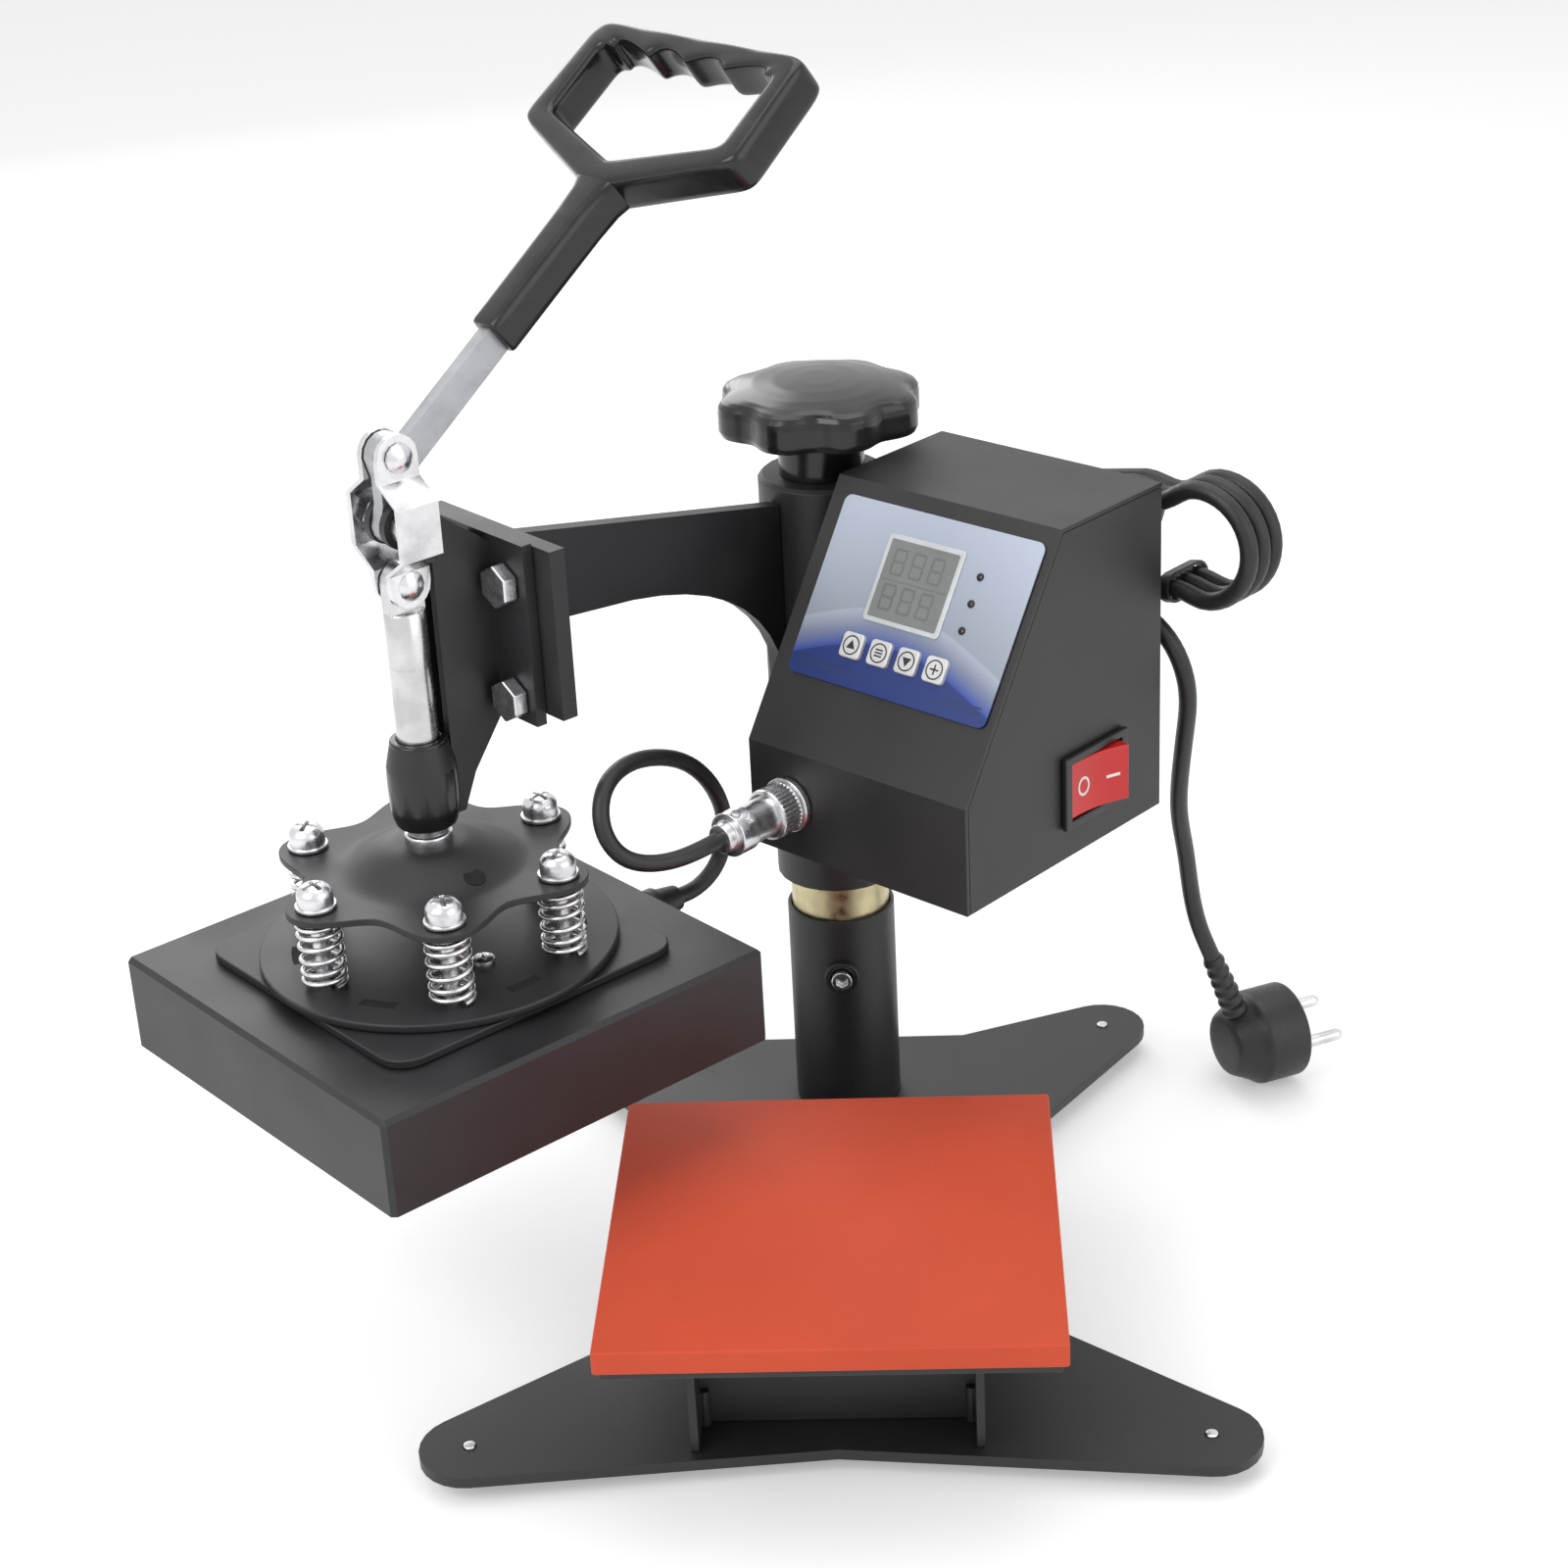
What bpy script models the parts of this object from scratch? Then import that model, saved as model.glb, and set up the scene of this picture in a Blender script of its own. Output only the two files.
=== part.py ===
"""Bench-top swing-away heat press for small craft work.

A cross-shaped base carries a silicone-topped table and a column. A swing arm turns on the
column and holds a toggle clamp, whose lever drives a plunger with a sprung heating head.
A control box with a digital timer hangs on the same hub.

Metres, +Z up. The origin is on the standing surface under the middle of the press.
The arm is shown swung to the operator's left, with the lever open.
"""
import math

import bmesh
import bpy
import numpy as np
from mathutils import Matrix, Vector

MM = 0.001
GAP = 0.3 * MM
OVERRUN = 2 * MM
MERGE = 0.02 * MM

# Where the column stands in the part's frame, and how the arm and the box are turned
COLUMN_X = 53 * MM
COLUMN_Y = 99 * MM
SWING_ANGLE = math.radians(46.55)
BOX_TOE_ANGLE = math.radians(6.45)
REACH = 183.3 * MM

# Base plate and its four feet
PLATE_THICK = 4 * MM
FOOT_HEIGHT = 6.8 * MM
FOOT_RADIUS = 9 * MM
FOOT_TAPER = 1.2 * MM
FOOT_STUD_RADIUS = 2.2 * MM
STUD_STAND_OUT = 0.8 * MM
LEG_TIP_RADIUS = 17 * MM
FRONT_LEG_X = 122.6 * MM
FRONT_LEG_Y = -REACH - 42 * MM
REAR_LEG_X = 103.1 * MM
REAR_LEG_Y = 43.5 * MM
FRONT_EDGE_Y = -REACH - 47 * MM
REAR_EDGE_Y = 38 * MM
REAR_EDGE_HALF = 46 * MM
WAIST_HALF = 55 * MM
WAIST_FRONT_Y = -REACH + 33 * MM
WAIST_REAR_Y = -REACH + 126 * MM
PLATE_BOTTOM = FOOT_HEIGHT + GAP
PLATE_TOP = PLATE_BOTTOM + PLATE_THICK

# Table: pedestal, bed plate and silicone pad
PAD_SIDE = 150 * MM
PAD_THICK = 8.6 * MM
PAD_EDGE = 0.8 * MM
PAD_TOP = 71.5 * MM
BED_SIDE = 146 * MM
BED_THICK = 3 * MM
BED_EDGE = 0.5 * MM
PEDESTAL_WIDTH = 97.2 * MM
PEDESTAL_DEPTH = 95 * MM
PEDESTAL_SHEET = 3 * MM
PEDESTAL_RECESS = 16 * MM
WELD_RADIUS = 2.2 * MM
WELD_LENGTH = 14 * MM
PAD_BOTTOM = PAD_TOP - PAD_THICK
BED_TOP = PAD_BOTTOM - GAP
BED_BOTTOM = BED_TOP - BED_THICK

# Column: outer tube, inner post, hub
TUBE_RADIUS = 20.5 * MM
TUBE_WALL = 1.5 * MM
TUBE_TOP = 95.5 * MM
TUBE_LIP = 0.6 * MM
POST_RADIUS = TUBE_RADIUS - TUBE_WALL - GAP
POST_DEPTH = 70 * MM
SET_SCREW_Z = 73 * MM
SET_SCREW_RADIUS = 4 * MM
SET_SCREW_BOSS_RADIUS = 6.5 * MM
SET_SCREW_BOSS = 3.5 * MM
SET_SCREW_PROUD = 2.5 * MM
SET_SCREW_SOCKET_RADIUS = 2.2 * MM
SET_SCREW_SOCKET = 2 * MM
HUB_RADIUS = 23.5 * MM
HUB_BOTTOM = 110.4 * MM
HUB_TOP = 270 * MM
HUB_CAP = 14 * MM
HUB_CHAMFER = 1.5 * MM
POST_HEAD_ROOM = 9 * MM
POST_TOP = HUB_TOP - HUB_CAP - POST_HEAD_ROOM
SPINDLE_RADIUS = 8 * MM
SPINDLE_REACH = 60 * MM
SPINDLE_TIP = HUB_TOP - SPINDLE_REACH
BRACKET_REACH = 3.2 * MM
BRACKET_HEIGHT = 60 * MM
BRACKET_DEPTH = 18 * MM

# Pressure knob
KNOB_RADIUS = 37.5 * MM
KNOB_FLUTE_DEPTH = 4 * MM
KNOB_LOBES = 8
KNOB_SKIRT = 14.5 * MM
KNOB_DOME = 4 * MM
KNOB_DOME_EDGE = 5 * MM
KNOB_NECK_RADIUS = 15.6 * MM
KNOB_NECK = 16 * MM
KNOB_EDGE = 2.4 * MM
KNOB_POINTS = 48
KNOB_SOCKET = 18 * MM

# Swing arm: a profiled plate and its flange
ARM_THICK = 6 * MM
ARM_NOSE_TOP = 286.5 * MM
ARM_NOSE_BOTTOM = 252 * MM
ARM_ROOT_TOP = 263.5 * MM
ARM_ROOT_BOTTOM = 150 * MM
ARM_MID_Y = -92 * MM
ARM_MID_BOTTOM = 247.5 * MM
ARM_SWEEP_Y = -40 * MM
ARM_SWEEP_BOTTOM = 241 * MM
ARM_THROAT_Y = -27.5 * MM
ARM_THROAT_BOTTOM = 208 * MM
ARM_CURVE_STEPS = 8
FLANGE_FRONT_Y = -148 * MM
FLANGE_THICK = 6 * MM
FLANGE_WIDTH = 68 * MM
FLANGE_BOTTOM = 229.5 * MM
FLANGE_TOP = 289 * MM
FLANGE_EDGE = 1.2 * MM

# Toggle clamp frame: mounting flange, two cheeks, guide barrel
CLAMP_FLANGE_WIDTH = 50 * MM
CLAMP_FLANGE_THICK = 4 * MM
CLAMP_FLANGE_BOTTOM = 226 * MM
CLAMP_FLANGE_TOP = 290 * MM
CHEEK_THICK = 3 * MM
CHEEK_FRONT_Y = -174.4 * MM
CHEEK_BOTTOM = 196 * MM
CHEEK_TOE_Y = -171 * MM
CHEEK_KNEE_Y = -165.5 * MM
CHEEK_KNEE_Z = 208.5 * MM
CHEEK_HEEL_Z = 229 * MM
CHEEK_SPACE = 5.6 * MM
PIVOT_Z = 301 * MM
PIVOT_BOSS_RADIUS = 8 * MM
PIVOT_NECK_Z = 293 * MM
BARREL_RADIUS = 11.7 * MM
BARREL_NECK_RADIUS = 9.6 * MM
BARREL_BOTTOM = 194 * MM
BARREL_TOP = 225 * MM
BARREL_SHOULDER = 9 * MM
BOLT_X = 14.5 * MM
BOLT_Z_LOW = 234 * MM
BOLT_Z_HIGH = 274.6 * MM
BOLT_RADIUS = 4 * MM
BOLT_HEAD_RADIUS = 7.5 * MM
BOLT_HEAD = 5.3 * MM
NUT_THICK = 6.5 * MM
PIVOT_PIN_RADIUS = 4 * MM
PIVOT_HEAD_RADIUS = 6 * MM
PIVOT_HEAD = 3.6 * MM

# Lever strip and its handle
LEVER_THICK = 5 * MM
LEVER_HALF = 5.4 * MM
LEVER_EYE_RADIUS = 7.4 * MM
LEVER_DROP = 5.6 * MM
CRANK = 23 * MM
HANDLE_ANGLE = math.radians(37.3)
LEVER_END = 84 * MM
GRIP_START = 52.6 * MM
GRIP_NECK_END = 118 * MM
GRIP_RISE = 0.8 * MM
GRIP_NECK_WIDTH = 13 * MM
GRIP_NECK_DEPTH = 14.2 * MM
GRIP_EDGE = 4 * MM
RING_DEPTH = 15 * MM
RING_HALF_TOP = 52.6 * MM
RING_HALF_LOW = 55.3 * MM
RING_TOP = 175.6 * MM
RING_SIDE = 131.6 * MM
RING_FOOT = 113 * MM
RING_HOLE_HALF = 44 * MM
RING_HOLE_FOOT = 122.6 * MM
RING_HOLE_SIDE = 136.6 * MM
RING_HOLE_TOP = 166.6 * MM
RING_CORNER = 5 * MM
RING_EDGE = 1.8 * MM
GROOVES = 4
GROOVE_DEPTH = 2.6 * MM
GROOVE_POINTS = 7

# Toggle link: two joggled plates riveted on the lever's crank pin
LINK_LENGTH = 43.5 * MM
PIN_Z = PIVOT_Z + CRANK - LINK_LENGTH
LINK_THICK = 2.5 * MM
LINK_WIDTH = 15.5 * MM
LINK_EAR_IN = 3.3 * MM
LINK_BULGE_IN = 12.4 * MM
LINK_BULGE_HALF = 9 * MM
LINK_JOGGLE = 6.5 * MM
RIVET_RADIUS = 3.6 * MM
RIVET_HEAD_RADIUS = 5 * MM
RIVET_HEAD = 3.4 * MM

# Plunger
ROD_RADIUS = 7 * MM
ROD_SHOULDER = 9.5 * MM
TANG_THICK = 5.4 * MM
TANG_TOP = 7.2 * MM
TANG_HALF = 6.6 * MM
ROD_STUD_RADIUS = 5 * MM
ROD_STUD = 10 * MM
ROD_BEVEL = 0.8 * MM

# Spider plate with its dome
SPIDER_Z = 176.6 * MM
SPIDER_THICK = 2.4 * MM
SPIDER_TIP_RADIUS = 56.5 * MM
SPIDER_VALLEY_RADIUS = 43.5 * MM
SPIDER_LOBES = 6
DOME_RADIUS = 34 * MM
DOME_CROWN_RADIUS = 11 * MM
DOME_RISE = 9 * MM
SPIDER_SPOKES = 48
DOME_RINGS = 5
SPIDER_CROWN = SPIDER_Z + SPIDER_THICK + DOME_RISE
SIGHT_HOLE_X = 24.8 * MM
SIGHT_HOLE_RADIUS = 3.6 * MM
SCREW_CIRCLE = 46.5 * MM
SCREW_COUNT = 6
SCREW_RADIUS = 3 * MM
SCREW_HEAD_RADIUS = 6.2 * MM
SCREW_HEAD = 7.2 * MM
SCREW_WASHER_RADIUS = 7 * MM
SCREW_WASHER = 1.4 * MM

# Heating head, from the disc on top down to the platen's face
DISC_SCREW_X = 25.4 * MM
DISC_SCREW_RADIUS = 4 * MM
DISC_SCREW_HEAD = 1.8 * MM
DISC_RADIUS = 61.5 * MM
DISC_THICK = 3 * MM
MOUNT_SIDE = 117 * MM
MOUNT_THICK = 3 * MM
MOUNT_CORNER = 10 * MM
HEAD_SIDE = 157 * MM
HEAD_TOP = 143.7 * MM
HEAD_HEIGHT = 35 * MM
HEAD_SHEET = 1.2 * MM
HEAD_EDGE = 1.6 * MM
PLATEN_SIDE = 150 * MM
PLATEN_THICK = 14 * MM
PLATEN_SHY = 0.5 * MM
INSULATION_SIDE = 149 * MM
PLATEN_EDGE = 0.8 * MM
MOUNT_BOTTOM = HEAD_TOP + GAP
DISC_BOTTOM = MOUNT_BOTTOM + MOUNT_THICK + GAP
DISC_TOP = DISC_BOTTOM + DISC_THICK
PLATEN_BOTTOM = HEAD_TOP - HEAD_HEIGHT - PLATEN_SHY
PLATEN_TOP = PLATEN_BOTTOM + PLATEN_THICK

# Springs round the shoulder screws
SPRING_WIRE_RADIUS = 0.95 * MM
SPRING_RADIUS = 7 * MM
SPRING_TURNS = 6.5
SPRING_POINTS = 8

# Head cable gland, heater cable and its plug on the control box
HEAD_GLAND_X = 16 * MM
HEAD_GLAND_Z = 136.5 * MM
HEAD_GLAND_RADIUS = 6 * MM
HEAD_GLAND_REACH = 13 * MM
HEAD_GLAND_NOSE = 4.4 * MM
HEAD_GLAND_COLLAR_RADIUS = 7 * MM
HEAD_GLAND_COLLAR = 3 * MM
HEAD_GLAND_INSIDE = 3 * MM
CABLE_RADIUS = 3 * MM
CABLE_SPACING = 7 * MM
SOCKET_X = 18.5 * MM
SOCKET_Z = 20 * MM
SOCKET_FLANGE_RADIUS = 10 * MM
SOCKET_FLANGE = 2.5 * MM
SOCKET_BARREL_RADIUS = 6.4 * MM
SOCKET_BARREL = 9 * MM
SOCKET_INSIDE = 7 * MM
SOCKET_NUT_RADIUS = 9 * MM
PLUG_RING_RADIUS = 9.2 * MM
PLUG_RING = 10 * MM
PLUG_BODY_RADIUS = 7.2 * MM
PLUG_BODY = 11 * MM
PLUG_CLAMP_RADIUS = 8 * MM
PLUG_CLAMP = 8 * MM
PLUG_TAIL_RADIUS = 5.4 * MM
PLUG_TAIL = 4 * MM

# Control box: a folded wrap over a chassis
BOX_LEFT = 27.2 * MM
BOX_FRONT = -74.1 * MM
BOX_WIDTH = 97.2 * MM
BOX_DEPTH = 109.5 * MM
BOX_BOTTOM = 158.1 * MM
BOX_HEIGHT = 121.8 * MM
BOX_LIP = 39.7 * MM
BOX_TOP_DEPTH = 56.2 * MM
BOX_SHEET = 1.5 * MM
PANEL_LEFT = 6.8 * MM
PANEL_WIDTH = 87.4 * MM
PANEL_LOW = 27 * MM
PANEL_HEIGHT = 65 * MM
PANEL_THICK = 0.8 * MM
PANEL_CORNER = 3 * MM
WINDOW_LEFT = 33.2 * MM
WINDOW_LOW = 53 * MM
WINDOW_WIDTH = 29.8 * MM
WINDOW_HEIGHT = 27.8 * MM
LAMP_U = 73 * MM
LAMP_LOW = 56.6 * MM
LAMP_PITCH = 9.5 * MM
LAMP_COUNT = 3
LAMP_RADIUS = 1.5 * MM
BUTTON_U = 31.7 * MM
BUTTON_V = 41.4 * MM
BUTTON_PITCH = 12.27 * MM
BUTTON_COUNT = 4
BUTTON_SIDE = 9 * MM
BUTTON_PROUD = 1.6 * MM
BUTTON_SKIRT = 1.5 * MM
BUTTON_STEM_RADIUS = 2 * MM
BUTTON_TRAVEL = 1 * MM
BUTTON_CORNER = 1.6 * MM
BOARD_THICK = 1.6 * MM
BOARD_DEPTH = 9 * MM
BOARD_WIDTH = 80 * MM
BOARD_HEIGHT = 62 * MM
TRANSFORMER_SIDE = 22 * MM
TRANSFORMER_DEPTH = 16 * MM

# Mains switch in the right side of the box
SWITCH_Y = 69.5 * MM
SWITCH_Z = 25.3 * MM
SWITCH_WIDTH = 35.5 * MM
SWITCH_HEIGHT = 27.2 * MM
SWITCH_RIM = 2.2 * MM
SWITCH_CUT_WIDTH = 28.4 * MM
SWITCH_CUT_HEIGHT = 21.5 * MM
SWITCH_WALL = 1.4 * MM
SWITCH_DEEP = 18 * MM
ROCKER_TILT = math.radians(12)
ROCKER_HALF = 13.2 * MM
ROCKER_PROUD = 4.4 * MM
ROCKER_SADDLE = 2.6 * MM
ROCKER_KEEL = 6 * MM
ROCKER_KEEL_HALF = 5 * MM

# Mains gland, lead, hank and plug; the lead's route is in box axes, from its own points
LEAD_RADIUS = 3.3 * MM
LEAD_SPACING = 15 * MM
GLAND_X = 33 * MM
GLAND_Z = 92 * MM
GLAND_RADIUS = 7 * MM
GLAND_NUT_RADIUS = 9.5 * MM
GLAND_NUT = 4 * MM
GLAND_REACH = 36 * MM
GLAND_TIP_RADIUS = 4.6 * MM
GLAND_INSIDE = 8 * MM
HANK_TURNS = 3
HANK_PITCH = 7.3 * MM
HANK_HALF_RUN = 50 * MM
HANK_HALF_WIDTH = 20.3 * MM
HANK_X = 81 * MM
HANK_Z = 244.5 * MM
HANK_BEHIND = 7.8 * MM
HANK_TILT = math.radians(10)
HANK_WAIST = 35 * MM
HANK_WAIST_REACH = 15 * MM
HANK_WAIST_DRAW = 4.5 * MM
HANK_POINTS = 24
LEAST_GAP = 0.4 * MM
TIE_THICK = 1.2 * MM
TIE_CLEAR = 1 * MM
TIE_WIDTH = 4 * MM
PLUG_X = 167 * MM
PLUG_Y = 19.7 * MM
PLUG_TURN = math.radians(25)
PLUG_BARREL_RADIUS = 19 * MM
PLUG_BARREL = 21 * MM
PLUG_BACK = 9 * MM
PLUG_BACK_RADIUS = 12 * MM
PLUG_LIFT = 0.4 * MM
PLUG_EDGE = 1.5 * MM
PIN_RADIUS = 2.4 * MM
PIN_LENGTH = 19 * MM
PIN_SPREAD = 9.5 * MM
PLUG_ROLL = math.radians(20)
RELIEF_START = 8 * MM
RELIEF_RADIUS = 5.6 * MM
RELIEF_NOSE = 4.2 * MM
RELIEF_REACH = 36 * MM
RELIEF_RIBS = 5
RELIEF_GROOVE = 0.6 * MM
RELIEF_LEAN = math.radians(22)

# Hand-chosen routes: the heater cable in arm axes, the rest in box axes, from the column's axis
CABLE_ROUTE = [(16.5, -74.5, 142), (18, -70, 156), (21, -75, 173), (25, -88, 189.5), (30, -106.5, 201),
               (36, -130, 205), (41, -140, 201), (46, -144, 191.5), (51, -140, 182), (56, -130, 178.1)]
ENTRY_ROUTE = [(60, 106, 248), (58, 124, 240), (50, 134, 220), (36, 128, 198), (24, 108, 186),
               (20, 86, 187), (26, 71, 196), (42, 65, 208)]
DROP_ROUTE = [(94, 43, 226.4), (107, 43.1, 226.8), (119.5, 44.3, 220), (126.5, 48, 202), (122.5, 53.8, 180),
              (116, 60.3, 159), (109.5, 69, 137), (105.2, 79.5, 115)]

MATERIALS = {
    "black_powder_coat": ((0.020, 0.020, 0.022), 0.55, 0.0),
    "black_plastic": ((0.015, 0.015, 0.017), 0.35, 0.0),
    "black_rubber": ((0.018, 0.018, 0.018), 0.75, 0.0),
    "zinc_steel": ((0.62, 0.62, 0.64), 0.32, 1.0),
    "yellow_zinc": ((0.60, 0.56, 0.40), 0.35, 1.0),
    "aluminium": ((0.70, 0.70, 0.72), 0.40, 1.0),
    "silicone": ((0.85, 0.16, 0.06), 0.70, 0.0),
    "ceramic_wool": ((0.85, 0.83, 0.78), 0.95, 0.0),
    "panel_film": ((0.45, 0.50, 0.65), 0.35, 0.0),
    "button_silver": ((0.75, 0.75, 0.76), 0.40, 0.2),
    "board_green": ((0.05, 0.25, 0.12), 0.50, 0.0),
    "switch_red": ((0.75, 0.02, 0.02), 0.25, 0.0),
}

RIGHT_ANGLE = math.pi / 2
ROUND_STEPS = 24
SMALL_STEPS = 12
SMOOTH_ANGLE = math.radians(35)
FLAT_ANGLE = math.radians(0.5)
ALONG_X = Matrix.Rotation(RIGHT_ANGLE, 4, "Y")
ALONG_Y = Matrix.Rotation(-RIGHT_ANGLE, 4, "X")
AGAINST_Y = Matrix.Rotation(RIGHT_ANGLE, 4, "X")
SIDE_PLAN = Matrix(((0, 0, 1, 0), (1, 0, 0, 0), (0, 1, 0, 0), (0, 0, 0, 1)))
FRONT_PLAN = Matrix(((1, 0, 0, 0), (0, 0, -1, 0), (0, 1, 0, 0), (0, 0, 0, 1)))


def clear_scene():
    for obj in list(bpy.data.objects):
        bpy.data.objects.remove(obj, do_unlink=True)


def new_collection(name):
    group = bpy.data.collections.new(name)
    bpy.context.scene.collection.children.link(group)
    return group


def make_material(name):
    colour, roughness, metallic = MATERIALS[name]
    material = bpy.data.materials.new(name)
    material.use_nodes = True
    shader = material.node_tree.nodes["Principled BSDF"]
    shader.inputs["Base Color"].default_value = (*colour, 1)
    shader.inputs["Roughness"].default_value = roughness
    shader.inputs["Metallic"].default_value = metallic
    material.diffuse_color = (*colour, 1)
    return material


def axis_empty(name, parent=None, place=Matrix()):
    """An empty on a joint's axis; what hangs from it is placed in its axes."""
    empty = bpy.data.objects.new(name, None)
    PARTS.objects.link(empty)
    empty.parent = parent
    empty.matrix_basis = place
    return empty


def moved(x=0, y=0, z=0):
    return Matrix.Translation((x, y, z))


def hang(obj, parent, place, material=None):
    """Put an object in its parent's axes; one without a material is a hidden guide."""
    group = PARTS if material else GUIDES
    group.objects.link(obj)
    obj.parent = parent
    obj.matrix_basis = place
    if material:
        if material not in bpy.data.materials:
            make_material(material)
        obj.data.materials.append(bpy.data.materials[material])
    else:
        obj.hide_render = True
        obj.display_type = "WIRE"
    return obj


def smooth(mesh):
    mesh.shade_smooth()
    mesh.set_sharp_from_angle(angle=SMOOTH_ANGLE)


def bevel(obj, width, segments):
    modifier = obj.modifiers.new("edge", "BEVEL")
    modifier.width = width
    modifier.segments = segments
    modifier.limit_method = "ANGLE"
    modifier.angle_limit = SMOOTH_ANGLE


def boolean(obj, others, operation):
    for other in others:
        modifier = obj.modifiers.new(operation.lower(), "BOOLEAN")
        modifier.operation = operation
        modifier.object = other


def cut(obj, *cutters):
    boolean(obj, cutters, "DIFFERENCE")


def fuse(obj, *others):
    boolean(obj, others, "UNION")


def block(name, parent, size, low, material=None, place=Matrix()):
    """A box from its low corner."""
    centre = [low[i] + size[i] / 2 for i in range(3)]
    bm = bmesh.new()
    bmesh.ops.create_cube(bm, size=1, matrix=Matrix.Translation(centre) @ Matrix.Diagonal((*size, 1)))
    mesh = bpy.data.meshes.new(name)
    bm.to_mesh(mesh)
    bm.free()
    return hang(bpy.data.objects.new(name, mesh), parent, place, material)


def peg(name, parent, radius, low, high, material=None, place=Matrix(), steps=SMALL_STEPS, end_radius=None):
    """A round or many-sided peg along its own Z, from low to high."""
    bm = bmesh.new()
    bmesh.ops.create_cone(bm, cap_ends=True, segments=steps, radius1=radius,
                          radius2=radius if end_radius is None else end_radius, depth=high - low,
                          matrix=moved(0, 0, (low + high) / 2))
    mesh = bpy.data.meshes.new(name)
    bm.to_mesh(mesh)
    bm.free()
    smooth(mesh)
    return hang(bpy.data.objects.new(name, mesh), parent, place, material)


def turned(name, parent, profile, material=None, place=Matrix(), steps=ROUND_STEPS, ring=False):
    """A profile of (radius, height) points swept round Z; it runs down its outer side."""
    points = [(radius, 0, height) for radius, height in profile]
    edges = [(i, i + 1) for i in range(len(points) - 1)]
    if ring:
        edges.append((len(points) - 1, 0))
    mesh = bpy.data.meshes.new(name)
    mesh.from_pydata(points, edges, [])
    obj = hang(bpy.data.objects.new(name, mesh), parent, place, material)
    screw = obj.modifiers.new("turn", "SCREW")
    screw.steps = steps
    screw.render_steps = steps
    screw.use_merge_vertices = True
    screw.merge_threshold = MERGE
    screw.use_smooth_shade = False
    return obj


def slab(name, parent, outlines, thick, material=None, place=Matrix(), edge=0):
    """A flat outline, with any holes in it, made thick both ways from its plane; edge rounds its rims."""
    curve = bpy.data.curves.new(name, "CURVE")
    curve.dimensions = "2D"
    curve.fill_mode = "BOTH"
    curve.extrude = thick / 2 - edge
    curve.bevel_depth = edge
    curve.offset = -edge
    curve.bevel_resolution = 1
    curve.render_resolution_u = 0
    for outline in outlines:
        spline = curve.splines.new("POLY")
        spline.points.add(len(outline) - 1)
        for point, (x, y) in zip(spline.points, outline):
            point.co = (x, y, 0, 1)
        spline.use_cyclic_u = True
    return solid_curve(name, curve, parent, material, place)


def solid_curve(name, curve, parent, material, place):
    """Turn a filled curve into a closed mesh, hung where the curve would be."""
    guide = bpy.data.objects.new(name + "_curve", curve)
    GUIDES.objects.link(guide)
    bpy.context.view_layer.update()
    mesh = bpy.data.meshes.new_from_object(guide.evaluated_get(bpy.context.evaluated_depsgraph_get()))
    bpy.data.objects.remove(guide)
    mesh.name = name
    bm = bmesh.new()
    bm.from_mesh(mesh)
    bmesh.ops.remove_doubles(bm, verts=bm.verts, dist=MERGE)
    bmesh.ops.dissolve_limit(bm, angle_limit=FLAT_ANGLE, verts=bm.verts, edges=bm.edges)
    bmesh.ops.recalc_face_normals(bm, faces=bm.faces)
    bm.to_mesh(mesh)
    bm.free()
    mesh.materials.clear()
    return hang(bpy.data.objects.new(name, mesh), parent, place, material)


def wire(name, parent, points, radius, material, resolution=2):
    """A tube along points, with filled caps."""
    curve = bpy.data.curves.new(name, "CURVE")
    curve.dimensions = "3D"
    curve.bevel_depth = radius
    curve.bevel_resolution = resolution
    curve.render_resolution_u = 0
    curve.use_fill_caps = True
    spline = curve.splines.new("POLY")
    spline.points.add(len(points) - 1)
    spline.points.foreach_set("co", np.column_stack([points, np.ones(len(points))]).ravel())
    return hang(bpy.data.objects.new(name, curve), parent, Matrix(), material)


def arc(centre, radius, start, end, steps):
    """Points along an arc, from one angle to the other."""
    angles = np.linspace(start, end, steps + 1)
    return [(centre[0] + radius * math.cos(a), centre[1] + radius * math.sin(a)) for a in angles]


def tangent(centre, radius, point, side):
    """The angle on a circle where a line from an outside point touches it."""
    dx = point[0] - centre[0]
    dy = point[1] - centre[1]
    return math.atan2(dy, dx) + side * math.acos(radius / math.hypot(dx, dy))


def tip_arc(centre, radius, before, after, steps):
    """The outside of a round tip, between the tangents from the points before and after it."""
    start = tangent(centre, radius, before, 1)
    end = tangent(centre, radius, after, -1)
    return arc(centre, radius, start, start + (end - start) % (2 * math.pi), steps)


def rounded(corners, radius, steps=4):
    """A closed outline with each corner turned into an arc."""
    points = []
    count = len(corners)
    for i, corner in enumerate(corners):
        here = Vector(corner)
        back = (Vector(corners[i - 1]) - here).normalized()
        ahead = (Vector(corners[(i + 1) % count]) - here).normalized()
        half = back.angle(ahead) / 2
        centre = here + (back + ahead).normalized() * (radius / math.sin(half))
        reach = radius / math.tan(half)
        start = here + back * reach - centre
        end = here + ahead * reach - centre
        turn = math.atan2(start.cross(end), start.dot(end))
        first = math.atan2(start.y, start.x)
        points += arc(centre, radius, first, first + turn, steps)
    return points


def rectangle(width, height, left=None, low=None):
    """A rectangle's corners, centred unless its left and low sides are given."""
    left = -width / 2 if left is None else left
    low = -height / 2 if low is None else low
    return [(left, low), (left + width, low), (left + width, low + height), (left, low + height)]


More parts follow.
